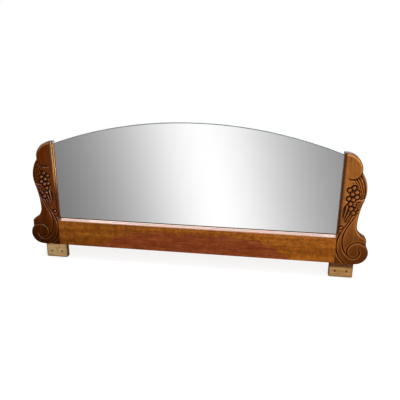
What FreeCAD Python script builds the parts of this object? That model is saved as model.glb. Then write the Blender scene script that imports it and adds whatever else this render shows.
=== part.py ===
import FreeCAD, Part
import math
import os

from FreeCAD import Vector

# Carved mirror for the top of a dresser. Two carved cheeks and a bottom rail hold an arched glass from three
# sides, and two tongues behind the cheeks hang down to be screwed to the back of the furniture.
# Millimetres. X runs along the rail, Y from front to back, Z up. The origin is the middle of the rail's underside.

# Frame
SIGHT_WIDTH = 1156.0
CHEEK_WIDTH = 126.0
CHEEK_HEIGHT = 450.0
FRAME_THICKNESS = 35.0
RAIL_HEIGHT = 110.0
RAIL_ARRIS = 3.0
CHEEK_ARRIS = 7.0
EDGE_CHAMFER = 4.0

# Glass, its arch and its seat in the rebate
ARCH_RISE = 102.0
ARCH_START_DROP = 9.0
LIP_DEPTH = 17.0
GLASS_THICKNESS = 5.0
GLASS_REBATE = 10.0
GLASS_SIDE_GAP = 2.0
REBATE_HEADROOM = 2.0
SETTING_BLOCK_HEIGHT = 3.0
SETTING_BLOCK_LENGTH = 60.0
WEDGE_LENGTH = 40.0
WEDGE_INSET = 60.0
SLIP_CLEARANCE = 0.2

# Back panel
PANEL_THICKNESS = 8.0
PANEL_REBATE = 26.0
PANEL_CLEARANCE = 1.0
PANEL_INSET = 8.0

# Tongues, with their offset from the cheek's inner face to their middle
TONGUE_WIDTH = 95.0
TONGUE_THICKNESS = 22.0
TONGUE_DROP = 77.0
TONGUE_OVERLAP = 118.0
TONGUE_OFFSET = 35.0
TONGUE_CORNER = 5.0
MOUNT_HOLE_SPACING = 46.0
MOUNT_HOLE_DIAMETER = 4.5
MOUNT_HOLE_DROP = 50.0

# Dowels and wood screws. They repeat, so they have few flat sides, as the carved balls do.
DOWEL_SIDES = 12
SCREW_SIDES = 8
FIT_CLEARANCE = 0.1
DOWEL_DIAMETER = 10.0
DOWEL_LENGTH = 60.0
DOWEL_HEIGHTS = (28.0, 62.0)
DOWEL_CHAMFER = 1.0
DOWEL_END_ROOM = 1.0
SCREW_TIP_SHARE = 0.3
TONGUE_SCREW_LENGTH = 45.0
TONGUE_SCREW_DIAMETER = 4.5
TONGUE_SCREW_HEAD = 9.0
TONGUE_SCREW_OFFSET = 25.0
TONGUE_SCREW_LOW = 45.0
TONGUE_SCREW_HIGH = 98.0
PANEL_SCREW_LENGTH = 20.0
PANEL_SCREW_DIAMETER = 3.5
PANEL_SCREW_HEAD = 7.0
PANEL_SCREW_INSET = 45.0
PANEL_SCREW_COUNT = 3
RAIL_SCREW_INSET = 98.0
RAIL_SCREW_COUNT = 5

# Outline of a cheek: reaches from its inner face, setbacks from a part that stands out further, heights above
# the rail's underside, and shares of the cheek's height
LOBE_RADIUS = 66.5
LOBE_REACH = 72.3
LEAF_RADIUS = 125.0
LEAF_REACH = 95.5
LEAF_SHARE = 0.6733
THROAT_SETBACK = 22.5
THROAT_SHARE = 0.365
SHOULDER_RADIUS = 19.0
SHOULDER_SETBACK = 11.0
SHOULDER_HEIGHT = 99.5
SCROLL_RADIUS = 48.5

# Carving tools
GROOVE_WIDTH = 6.0
GROOVE_DEPTH = 4.0
VEIN_WIDTH = 4.5
VEIN_DEPTH = 2.5
GROUND_DEPTH = 6.0
GROUND_MARGIN = 2.5
BALL_SIDES = 12
BALL_LATITUDES = (0.0, 35.0, 70.0)

# Step under the lobe
LOBE_STEP_RADIUS = 36.5
LOBE_STEP_REACH = 72.0
LOBE_STEP_ANGLES = (240.0, 350.0)

# Upper leaf: the inner edge's reach and radius, and drops below the leaf's widest point
LEAF_EDGE_RADIUS = 110.0
LEAF_EDGE_REACH = 70.0
LEAF_EDGE_DROP = 30.0
LEAF_TIP_RADIUS = 16.0
LEAF_TIP_REACH = 76.0
LEAF_TIP_DROP = 16.0
LEAF_TIP_ANGLES = (240.0, 345.0)
LEAF_VEINS = 3
LEAF_VEIN_SPREAD = 22.0

# Lower leaf, its bud and the curl at the stem's top
LOWER_LEAF_RADIUS = 63.5
LOWER_LEAF_REACH = 74.0
LOWER_LEAF_DROP = 89.0
LOWER_LEAF_VEINS = 2
LOWER_LEAF_VEIN_STEP = 13.0
LOWER_LEAF_ANGLES = (140.0, 208.0)
LOWER_LEAF_VEIN_SHIFT = 9.0
BUD_RADIUS = 8.0
BUD_REACH = 13.0
BUD_RISE = 103.5
CURL_RADIUS = 10.0
CURL_REACH = 70.0
CURL_DROP = 53.0
CURL_ANGLES = (40.0, 250.0)

# Bunch of grapes: reach from the inner face and rise above the leaf's widest point
GRAPE_RADIUS = 9.5
GRAPES = (
    (47.0, 13.0),
    (31.0, 3.0),
    (59.0, -4.0),
    (43.0, -13.0),
    (31.0, -31.0),
    (61.0, -24.0),
    (48.0, -35.0),
    (39.0, -52.0),
    (43.0, -72.0),
    (53.0, -88.0),
)

# Edges of the stem and the scroll's volute. The stem's edges start at an offset from the scroll's centre. A move
# is a bend's radius and its degrees to the left, and a radius of 0 makes a straight run of that many millimetres.
VOLUTE_HEADING = 139.0
VOLUTE_MOVES = ((0.0, 6.0), (40.0, 129.0), (29.7, 46.0), (23.4, 173.0))
STEM_INNER_START = (-31.6, -10.5)
STEM_INNER_HEADING = 137.3
STEM_INNER_MOVES = ((62.9, -26.3), (108.3, -48.0), (0.0, 73.0))
STEM_OUTER_START = (-32.9, -49.5)
STEM_OUTER_HEADING = 147.5
STEM_OUTER_MOVES = ((93.8, -55.3), (109.0, -30.3), (0.0, 122.0))

# Planes and edges that follow from the sizes above
INNER_X = SIGHT_WIDTH / 2
FRONT = -FRAME_THICKNESS / 2
BACK = FRAME_THICKNESS / 2
GLASS_FRONT = FRONT + LIP_DEPTH
PANEL_FRONT = GLASS_FRONT + GLASS_THICKNESS
PANEL_BACK = PANEL_FRONT + PANEL_THICKNESS
TONGUE_X = INNER_X + TONGUE_OFFSET
TONGUE_BACK = BACK + TONGUE_THICKNESS
GLASS_FLOOR = RAIL_HEIGHT - GLASS_REBATE
GLASS_WALL = INNER_X + GLASS_REBATE
GLASS_BOTTOM = GLASS_FLOOR + SETTING_BLOCK_HEIGHT
GLASS_SIDE = GLASS_WALL - GLASS_SIDE_GAP
PANEL_FLOOR = RAIL_HEIGHT - PANEL_REBATE
PANEL_WALL = INNER_X + PANEL_REBATE
PANEL_BOTTOM = PANEL_FLOOR + PANEL_CLEARANCE
PANEL_SIDE = PANEL_WALL - PANEL_CLEARANCE
ARCH_SPRING = CHEEK_HEIGHT - ARCH_START_DROP
REBATE_TOP = ARCH_SPRING + REBATE_HEADROOM
ARCH_RADIUS = (INNER_X**2 + ARCH_RISE**2) / (2 * ARCH_RISE)
ARCH_CENTRE = ARCH_SPRING + ARCH_RISE - ARCH_RADIUS
SETTING_BLOCK_X = SIGHT_WIDTH / 4
LEAF_HEIGHT = CHEEK_HEIGHT * LEAF_SHARE
THROAT_HEIGHT = CHEEK_HEIGHT * THROAT_SHARE
THROAT_REACH = LEAF_REACH - THROAT_SETBACK
SHOULDER_REACH = CHEEK_WIDTH - SHOULDER_SETBACK
SCROLL_CENTRE = (CHEEK_WIDTH - SCROLL_RADIUS, SCROLL_RADIUS)
LOBE_CENTRE = (LOBE_REACH - LOBE_RADIUS, CHEEK_HEIGHT - LOBE_RADIUS)
LEAF_CENTRE = (LEAF_REACH - LEAF_RADIUS, LEAF_HEIGHT)
SHOULDER_CENTRE = (SHOULDER_REACH - SHOULDER_RADIUS, SHOULDER_HEIGHT)
LOBE_STEP_CENTRE = (LOBE_STEP_REACH - LOBE_STEP_RADIUS, LOBE_CENTRE[1])
LEAF_EDGE_CENTRE = (LEAF_EDGE_REACH - LEAF_EDGE_RADIUS, LEAF_HEIGHT - LEAF_EDGE_DROP)
LEAF_TIP_CENTRE = (LEAF_TIP_REACH, LEAF_HEIGHT - LEAF_TIP_DROP)
LOWER_LEAF_CENTRE = (LOWER_LEAF_REACH, LEAF_HEIGHT - LOWER_LEAF_DROP)
BUD_CENTRE = (BUD_REACH, SCROLL_CENTRE[1] + BUD_RISE)
CURL_CENTRE = (CURL_REACH, LEAF_HEIGHT - CURL_DROP)

# A cut starts and ends this far outside the wood
OVERRUN = 1.0
SAME_PLACE = 1e-6
TO_BACK = Vector(0, 1, 0)
TO_FRONT = Vector(0, -1, 0)
ALONG_RAIL = Vector(1, 0, 0)
UPRIGHT = Vector(0, 0, 1)
MIDDLE = Vector(0, 0, 0)


def block(x0, x1, y0, y1, z0, z1):
    """Box between two corners."""
    return Part.makeBox(x1 - x0, y1 - y0, z1 - z0, Vector(x0, y0, z0))


def line(start, end):
    """Straight edge."""
    return Part.LineSegment(start, end).toShape()


def other_side(shape):
    """Mirror image on the left of a piece on the right."""
    return shape.mirror(MIDDLE, ALONG_RAIL)


def spread(first, last, count):
    """Evenly spaced places from the first to the last."""
    return [first + (last - first) * number / (count - 1) for number in range(count)]


def turned(start, axis, sides, rings):
    """Round form with few flat sides through rings, each a distance along the axis and a radius."""
    across = UPRIGHT.cross(axis)
    turns = [2 * math.pi * (number % sides) / sides for number in range(sides + 1)]
    spokes = [across * math.cos(turn) + UPRIGHT * math.sin(turn) for turn in turns]
    loops = [[start + axis * along + spoke * radius for spoke in spokes] for along, radius in rings]
    outlines = [loops[0], loops[-1]]
    for near, far in zip(loops, loops[1:]):
        sectors = range(sides)
        outlines += [[near[n], near[n + 1], far[n + 1], far[n], near[n]] for n in sectors]
    return Part.Solid(Part.Shell([Part.Face(Part.makePolygon(outline)) for outline in outlines]))


def spot(u, z, y=FRONT):
    """Point of the right cheek, u from its inner face and z above the rail's underside."""
    return Vector(INNER_X + u, y, z)


def on_circle(centre, radius, degrees):
    """Place (u, z) on a circle of the cheek's front."""
    turn = math.radians(degrees)
    return (centre[0] + radius * math.cos(turn), centre[1] + radius * math.sin(turn))


def bearing(centre, place):
    """Angle in degrees from a centre to a place."""
    return math.degrees(math.atan2(place[1] - centre[1], place[0] - centre[0]))


def arc(centre, radius, start, end):
    """Arc on the cheek's front between two angles."""
    angles = (start, (start + end) / 2, end)
    return Part.Arc(*[spot(*on_circle(centre, radius, a)) for a in angles]).toShape()


def between(first, second, share):
    """Place part of the way from one place to another."""
    return tuple(a + (b - a) * share for a, b in zip(first, second))


def from_scroll(offset):
    """Place at an offset from the scroll's centre."""
    return (SCROLL_CENTRE[0] + offset[0], SCROLL_CENTRE[1] + offset[1])


def carver_path(place, heading, moves):
    """Straight runs and bends on the cheek's front, each tangent to the one before."""
    edges = []
    for radius, amount in moves:
        if radius == 0:
            end = on_circle(place, amount, heading)
            edges.append(line(spot(*place), spot(*end)))
        else:
            side = math.copysign(90.0, amount)
            centre = on_circle(place, radius, heading + side)
            edges.append(arc(centre, radius, heading - side, heading - side + amount))
            end = on_circle(centre, radius, heading - side + amount)
            heading += amount
        place = end
    return edges


def v_cut(edges, width, depth):
    """Chip that a V-shaped carving tool takes out along a path on the front."""
    first = edges[0]
    start = first.valueAt(first.FirstParameter)
    across = first.tangentAt(first.FirstParameter).cross(TO_BACK)
    half = width / 2 * (depth + OVERRUN) / depth
    above = TO_FRONT * OVERRUN
    corners = [start + across * half + above, start - across * half + above, start + TO_BACK * depth]
    profile = Part.makePolygon(corners + corners[:1])
    return Part.Wire(edges).makePipeShell([profile], True, False)


def groove(edges):
    """Main line of the carving."""
    return v_cut(edges, GROOVE_WIDTH, GROOVE_DEPTH)


def vein(edges):
    """Fine line within a leaf."""
    return v_cut(edges, VEIN_WIDTH, VEIN_DEPTH)


# Outline of a cheek


def throat_blend(centre, radius):
    """Centre and radius of the hollow that is upright at the throat and runs smoothly into a rounding."""
    inset = THROAT_REACH - centre[0]
    rise = THROAT_HEIGHT - centre[1]
    hollow = (radius**2 - inset**2 - rise**2) / (2 * (inset - radius))
    return (THROAT_REACH + hollow, THROAT_HEIGHT), hollow


def cheek_side():
    """Outer edge of the cheek, from inside the scroll up to inside the lobe."""
    low_centre, low_radius = throat_blend(SHOULDER_CENTRE, SHOULDER_RADIUS)
    high_centre, high_radius = throat_blend(LEAF_CENTRE, LEAF_RADIUS)
    shoulder_end = bearing(SHOULDER_CENTRE, low_centre)
    leaf_start = bearing(LEAF_CENTRE, high_centre)
    return [
        line(spot(SHOULDER_REACH, SCROLL_CENTRE[1]), spot(SHOULDER_REACH, SHOULDER_HEIGHT)),
        arc(SHOULDER_CENTRE, SHOULDER_RADIUS, 0, shoulder_end),
        arc(low_centre, low_radius, shoulder_end + 180, 180),
        arc(high_centre, high_radius, 180, leaf_start + 180),
        arc(LEAF_CENTRE, LEAF_RADIUS, leaf_start, bearing(LEAF_CENTRE, LOBE_CENTRE)),
    ]


def chamfered_disc(centre, radius):
    """Disc of the cheek's thickness with its front rim eased."""
    disc = Part.makeCylinder(radius, FRAME_THICKNESS, spot(*centre), TO_BACK)
    rim = [edge for edge in disc.Edges if edge.BoundBox.YMax < FRONT + SAME_PLACE]
    return disc.makeChamfer(EDGE_CHAMFER, rim)


def cheek_blank():
    """Cheek sawn to its outline with its front edge eased, before the carving."""
    side = cheek_side()
    top = side[-1].Vertexes[-1].Point
    corners = [
        top,
        spot(0, top.z),
        spot(0, 0),
        spot(SCROLL_CENTRE[0], 0),
        spot(*SCROLL_CENTRE),
        spot(SHOULDER_REACH, SCROLL_CENTRE[1]),
    ]
    rest = [line(start, end) for start, end in zip(corners, corners[1:])]
    body = Part.Face(Part.Wire(side + rest)).extrude(TO_BACK * FRAME_THICKNESS)
    middles = [edge.CenterOfMass for edge in side]
    front = [edge for edge in body.Edges if any(edge.CenterOfMass.isEqual(m, SAME_PLACE) for m in middles)]
    body = body.makeChamfer(EDGE_CHAMFER, front)
    lobe = chamfered_disc(LOBE_CENTRE, LOBE_RADIUS)
    scroll = chamfered_disc(SCROLL_CENTRE, SCROLL_RADIUS)
    sawn = block(INNER_X, INNER_X + CHEEK_WIDTH, FRONT, BACK, 0, CHEEK_HEIGHT)
    return body.fuse((lobe, scroll)).common(sawn).removeSplitter()


# Carving of a cheek


def scroll_grooves():
    """Volute of the bottom scroll, and the two edges of the stem that grows out of it."""
    notch_rise = math.sqrt(SCROLL_RADIUS**2 - (SCROLL_RADIUS - SHOULDER_SETBACK) ** 2)
    notch = (SHOULDER_REACH, SCROLL_CENTRE[1] + notch_rise)
    return [
        groove(carver_path(notch, VOLUTE_HEADING, VOLUTE_MOVES)),
        groove(carver_path(from_scroll(STEM_INNER_START), STEM_INNER_HEADING, STEM_INNER_MOVES)),
        groove(carver_path(from_scroll(STEM_OUTER_START), STEM_OUTER_HEADING, STEM_OUTER_MOVES)),
    ]


def upper_leaf_cuts():
    """Step under the lobe, inner edge and tip of the leaf below it, and the veins between its edges."""
    under_lobe = on_circle(LOBE_STEP_CENTRE, LOBE_STEP_RADIUS, 270)
    under_tip = on_circle(LEAF_TIP_CENTRE, LEAF_TIP_RADIUS, 270)
    edge_start = bearing(LEAF_EDGE_CENTRE, under_tip)
    edge_end = bearing(LEAF_EDGE_CENTRE, under_lobe)
    cuts = [
        groove([arc(LOBE_STEP_CENTRE, LOBE_STEP_RADIUS, *LOBE_STEP_ANGLES)]),
        groove([arc(LEAF_EDGE_CENTRE, LEAF_EDGE_RADIUS, edge_start, edge_end)]),
        groove([arc(LEAF_TIP_CENTRE, LEAF_TIP_RADIUS, *LEAF_TIP_ANGLES)]),
    ]
    for number in range(1, LEAF_VEINS + 1):
        share = number / (LEAF_VEINS + 1)
        centre = between(LEAF_EDGE_CENTRE, LEAF_CENTRE, share)
        radius = LEAF_EDGE_RADIUS + (LEAF_RADIUS - LEAF_EDGE_RADIUS) * share
        top = on_circle(LOBE_STEP_CENTRE, LOBE_STEP_RADIUS, 270 + LEAF_VEIN_SPREAD * number)
        cuts.append(vein([arc(centre, radius, bearing(centre, LEAF_TIP_CENTRE), bearing(centre, top))]))
    return cuts


def lower_leaf_cuts():
    """Edge and veins of the lower leaf, and the curl that ends the stem beside it."""
    start, end = LOWER_LEAF_ANGLES
    cuts = [
        groove([arc(LOWER_LEAF_CENTRE, LOWER_LEAF_RADIUS, start, end)]),
        groove([arc(CURL_CENTRE, CURL_RADIUS, *CURL_ANGLES)]),
    ]
    for number in range(1, LOWER_LEAF_VEINS + 1):
        radius = LOWER_LEAF_RADIUS - LOWER_LEAF_VEIN_STEP * number
        shift = LOWER_LEAF_VEIN_SHIFT * number
        cuts.append(vein([arc(LOWER_LEAF_CENTRE, radius, start + shift, end)]))
    return cuts


def carved_balls():
    """Place and radius of each grape and of the bud at the lower leaf's foot."""
    grapes = [((u, LEAF_HEIGHT + rise), GRAPE_RADIUS) for u, rise in GRAPES]
    return grapes + [(BUD_CENTRE, BUD_RADIUS)]


def carved_ball(place, radius):
    """Ball cut in flat facets that rises from the wood to the front plane."""
    rings = []
    for latitude in BALL_LATITUDES:
        along, spread_out = on_circle((0, 0), radius, 90 - latitude)
        rings.append((radius - along, spread_out))
    return turned(spot(*place), TO_BACK, BALL_SIDES, rings)


def carved(blank):
    """Blank with sunk ground, balls that rise to the front plane, and the carver's lines."""
    grounds = []
    balls = []
    for place, radius in carved_balls():
        ground = [(depth, radius + GROUND_MARGIN) for depth in (-OVERRUN, GROUND_DEPTH)]
        grounds.append(turned(spot(*place), TO_BACK, BALL_SIDES, ground))
        balls.append(carved_ball(place, radius))
    relief = blank.cut(grounds).fuse(balls)
    return relief.cut(scroll_grooves() + upper_leaf_cuts() + lower_leaf_cuts())


# Fasteners, each with its head or middle given


def wood_screw(head, length, head_diameter, shank_diameter, clearance=0.0):
    """Countersunk screw that points to the front, or with a clearance the hole for it."""
    shank = shank_diameter / 2 + clearance
    cap = head_diameter / 2 + clearance
    tip = shank * SCREW_TIP_SHARE
    rings = [(0, cap), (cap - shank, shank), (length - shank, shank), (length + clearance, tip)]
    return turned(head, TO_FRONT, SCREW_SIDES, rings)


def tongue_screws(clearance=0.0):
    """Screws through the right tongue into its cheek."""
    places = [
        (-TONGUE_SCREW_OFFSET, TONGUE_SCREW_LOW),
        (TONGUE_SCREW_OFFSET, TONGUE_SCREW_LOW),
        (TONGUE_SCREW_OFFSET, TONGUE_SCREW_HIGH),
    ]
    sizes = (TONGUE_SCREW_LENGTH, TONGUE_SCREW_HEAD, TONGUE_SCREW_DIAMETER, clearance)
    return [wood_screw(Vector(TONGUE_X + x, TONGUE_BACK, z), *sizes) for x, z in places]


def panel_screws(clearance=0.0):
    """Screws through the panel's right margin into the cheek."""
    x = (GLASS_WALL + PANEL_WALL) / 2
    sizes = (PANEL_SCREW_LENGTH, PANEL_SCREW_HEAD, PANEL_SCREW_DIAMETER, clearance)
    heights = spread(RAIL_HEIGHT + PANEL_SCREW_INSET, ARCH_SPRING - PANEL_SCREW_INSET, PANEL_SCREW_COUNT)
    return [wood_screw(Vector(x, PANEL_BACK, z), *sizes) for z in heights]


def rail_screws(clearance=0.0):
    """Screws through the panel's bottom margin into the rail."""
    z = (GLASS_FLOOR + PANEL_FLOOR) / 2
    sizes = (PANEL_SCREW_LENGTH, PANEL_SCREW_HEAD, PANEL_SCREW_DIAMETER, clearance)
    last = INNER_X - RAIL_SCREW_INSET
    return [wood_screw(Vector(x, PANEL_BACK, z), *sizes) for x in spread(-last, last, RAIL_SCREW_COUNT)]


def dowels():
    """Dowels across the joint of the rail and the right cheek."""
    radius = DOWEL_DIAMETER / 2
    half = DOWEL_LENGTH / 2
    eased = radius - DOWEL_CHAMFER
    rings = [
        (-half, eased),
        (DOWEL_CHAMFER - half, radius),
        (half - DOWEL_CHAMFER, radius),
        (half, eased),
    ]
    return [turned(Vector(INNER_X, 0, z), ALONG_RAIL, DOWEL_SIDES, rings) for z in DOWEL_HEIGHTS]


def dowel_holes():
    """Holes for the dowels, a little wider and deeper."""
    half = DOWEL_LENGTH / 2 + DOWEL_END_ROOM
    radius = DOWEL_DIAMETER / 2 + FIT_CLEARANCE
    rings = [(-half, radius), (half, radius)]
    return [turned(Vector(INNER_X, 0, z), ALONG_RAIL, DOWEL_SIDES, rings) for z in DOWEL_HEIGHTS]


# Pieces


def rebate(x_wall, front, floor):
    """Right half of one step of the rebate round the glass opening, open to the back."""
    return block(0, x_wall, front, BACK + OVERRUN, floor, REBATE_TOP)


def rebate_steps():
    """Step for the glass and, behind it, the wider step for the panel."""
    return [rebate(GLASS_WALL, GLASS_FRONT, GLASS_FLOOR), rebate(PANEL_WALL, PANEL_FRONT, PANEL_FLOOR)]


def right_cheek():
    """Carved side post with its stepped rebate and the rounded arris beside the glass."""
    corner = block(INNER_X, INNER_X + CHEEK_ARRIS, FRONT, FRONT + CHEEK_ARRIS, RAIL_HEIGHT, CHEEK_HEIGHT)
    arris = Part.makeCylinder(
        CHEEK_ARRIS,
        CHEEK_HEIGHT - RAIL_HEIGHT,
        spot(CHEEK_ARRIS, RAIL_HEIGHT, FRONT + CHEEK_ARRIS),
    )
    holes = dowel_holes() + tongue_screws(FIT_CLEARANCE) + panel_screws(FIT_CLEARANCE)
    return carved(cheek_blank()).cut([corner.cut(arris)] + rebate_steps() + holes)


def bottom_rail():
    """Plank between the cheeks, with a ledge before the glass and the same stepped rebate."""
    plank = block(-INNER_X, INNER_X, FRONT, BACK, 0, RAIL_HEIGHT)
    front = [
        edge
        for edge in plank.Edges
        if edge.BoundBox.YMax < FRONT + SAME_PLACE and edge.BoundBox.ZMin > RAIL_HEIGHT - SAME_PLACE
    ]
    plank = plank.makeFillet(RAIL_ARRIS, front)
    half = rebate_steps() + dowel_holes()
    return plank.cut(half + [other_side(tool) for tool in half] + rail_screws(FIT_CLEARANCE))


def arched_plate(side, bottom, radius, front, thickness):
    """Upright plate with straight sides and an arched top."""
    shoulder = ARCH_CENTRE + math.sqrt(radius**2 - side**2)
    left = Vector(-side, front, shoulder)
    right = Vector(side, front, shoulder)
    low_left = Vector(-side, front, bottom)
    low_right = Vector(side, front, bottom)
    top = Part.Arc(right, Vector(0, front, ARCH_CENTRE + radius), left).toShape()
    edges = [line(low_left, low_right), line(low_right, right), top, line(left, low_left)]
    return Part.Face(Part.Wire(edges)).extrude(TO_BACK * thickness)


def mirror_glass():
    """Silvered glass plate."""
    return arched_plate(GLASS_SIDE, GLASS_BOTTOM, ARCH_RADIUS, GLASS_FRONT, GLASS_THICKNESS)


def back_panel():
    """Board behind the glass, its arch a little lower so that it stays out of sight."""
    panel = arched_plate(PANEL_SIDE, PANEL_BOTTOM, ARCH_RADIUS - PANEL_INSET, PANEL_FRONT, PANEL_THICKNESS)
    holes = panel_screws(FIT_CLEARANCE)
    return panel.cut(holes + [other_side(hole) for hole in holes] + rail_screws(FIT_CLEARANCE))


def right_tongue():
    """Batten behind the cheek that hangs below the rail, with two holes for the furniture's screws."""
    half = TONGUE_WIDTH / 2
    batten = block(TONGUE_X - half, TONGUE_X + half, BACK, TONGUE_BACK, -TONGUE_DROP, TONGUE_OVERLAP)
    low = [edge for edge in batten.Edges if edge.BoundBox.ZMax < SAME_PLACE - TONGUE_DROP]
    corners = [edge for edge in low if edge.BoundBox.XLength < SAME_PLACE]
    batten = batten.makeFillet(TONGUE_CORNER, corners)
    holes = [
        Part.makeCylinder(
            MOUNT_HOLE_DIAMETER / 2,
            TONGUE_THICKNESS + 2 * OVERRUN,
            Vector(TONGUE_X + side * MOUNT_HOLE_SPACING / 2, BACK - OVERRUN, -MOUNT_HOLE_DROP),
            TO_BACK,
        )
        for side in (-1, 1)
    ]
    return batten.cut(holes + tongue_screws(FIT_CLEARANCE))


def right_side_wedges():
    """Slips between the glass edge and the cheek."""
    back = PANEL_FRONT - SLIP_CLEARANCE
    half = WEDGE_LENGTH / 2
    heights = (RAIL_HEIGHT + WEDGE_INSET, ARCH_SPRING - WEDGE_INSET)
    return [block(GLASS_SIDE, GLASS_WALL, GLASS_FRONT, back, z - half, z + half) for z in heights]


def setting_blocks():
    """Blocks in the rail's rebate that carry the glass."""
    back = PANEL_FRONT - SLIP_CLEARANCE
    half = SETTING_BLOCK_LENGTH / 2
    return [
        block(x - half, x + half, GLASS_FRONT, back, GLASS_FLOOR, GLASS_BOTTOM)
        for x in (-SETTING_BLOCK_X, SETTING_BLOCK_X)
    ]


def main():
    """Writes each piece to its own file, with like fasteners together."""
    os.makedirs("parts", exist_ok=True)
    pieces = {
        "bottom_rail": bottom_rail(),
        "mirror_glass": mirror_glass(),
        "back_panel": back_panel(),
        "rail_panel_screws": Part.makeCompound(rail_screws()),
        "setting_blocks": Part.makeCompound(setting_blocks()),
    }
    paired = {
        "cheek": right_cheek(),
        "tongue": right_tongue(),
        "rail_dowels": Part.makeCompound(dowels()),
        "tongue_screws": Part.makeCompound(tongue_screws()),
        "panel_screws": Part.makeCompound(panel_screws()),
        "side_wedges": Part.makeCompound(right_side_wedges()),
    }
    for name, shape in paired.items():
        pieces["right_" + name] = shape
        pieces["left_" + name] = other_side(shape)
    for name, shape in pieces.items():
        shape.exportStep("parts/" + name + ".step")
        print(name, len(shape.Solids), shape.isValid(), round(shape.Volume))


main()
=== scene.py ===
"""Looks of a carved mirror for the top of a dresser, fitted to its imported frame."""

import logging
import math
from dataclasses import dataclass, replace
from enum import Enum
from typing import Any, Sequence

import bmesh
import bpy
import numpy as np
from mathutils import Matrix, Vector


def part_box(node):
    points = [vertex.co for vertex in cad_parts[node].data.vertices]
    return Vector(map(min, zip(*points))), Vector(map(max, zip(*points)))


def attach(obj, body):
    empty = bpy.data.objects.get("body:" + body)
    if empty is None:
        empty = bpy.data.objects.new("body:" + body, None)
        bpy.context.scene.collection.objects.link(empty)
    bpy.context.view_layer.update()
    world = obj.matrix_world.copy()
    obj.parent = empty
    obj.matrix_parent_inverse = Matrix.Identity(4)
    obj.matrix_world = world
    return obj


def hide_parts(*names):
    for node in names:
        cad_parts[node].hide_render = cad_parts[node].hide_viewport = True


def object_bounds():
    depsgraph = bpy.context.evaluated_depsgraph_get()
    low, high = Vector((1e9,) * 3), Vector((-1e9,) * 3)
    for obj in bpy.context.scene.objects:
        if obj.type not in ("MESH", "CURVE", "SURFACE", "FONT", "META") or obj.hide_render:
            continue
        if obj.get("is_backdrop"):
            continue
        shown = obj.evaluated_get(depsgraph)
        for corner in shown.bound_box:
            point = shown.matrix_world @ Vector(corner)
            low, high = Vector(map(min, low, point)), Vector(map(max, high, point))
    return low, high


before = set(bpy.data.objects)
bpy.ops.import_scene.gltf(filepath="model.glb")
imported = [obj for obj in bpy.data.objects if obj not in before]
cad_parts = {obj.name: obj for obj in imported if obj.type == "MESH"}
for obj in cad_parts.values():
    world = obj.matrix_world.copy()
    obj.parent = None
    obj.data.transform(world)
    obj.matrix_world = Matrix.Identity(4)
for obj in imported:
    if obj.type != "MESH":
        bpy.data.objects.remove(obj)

LOG = logging.getLogger("carved_mirror")
MM = 0.001
BODY = "root"
MERGE_GAP = 0.001 * MM
GLASS_REBATE = 10 * MM
PANEL_REBATE = 26 * MM
ARCH_RISE = 102 * MM
WHITE = (1.0, 1.0, 1.0, 1.0)

Colour = tuple[float, float, float]
Spot = tuple[float, float, float]
Place = tuple[float, float]
Span = tuple[float, float]
Move = tuple[float, float]
Socket = bpy.types.NodeSocket
Material = bpy.types.Material
Array = np.ndarray


class Side(Enum):
    """End of the mirror that a piece belongs to, with its sign along X."""

    LEFT = -1
    RIGHT = 1

    @property
    def label(self) -> str:
        """Name of the side as the frame's nodes spell it."""
        return self.name.lower()


class Grain(Enum):
    """Direction in which a board's grain runs, with the stretch of its figure along each axis."""

    ALONG_RAIL = (0.05, 1.0, 1.0)
    UPRIGHT = (1.0, 1.0, 0.05)


def srgb(red: int, green: int, blue: int) -> Colour:
    """Turns a display colour, with parts from 0 to 255, into linear light."""
    shares = [value / 255 for value in (red, green, blue)]
    return tuple(s / 12.92 if s <= 0.04045 else ((s + 0.055) / 1.055) ** 2.4 for s in shares)


# Nodes


@dataclass(frozen=True)
class Noise:
    """Cloudy pattern: its features per metre, its levels of detail, and how rough and bent they are."""

    scale: float
    detail: float
    roughness: float = 0.5
    distortion: float = 0.0


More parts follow.
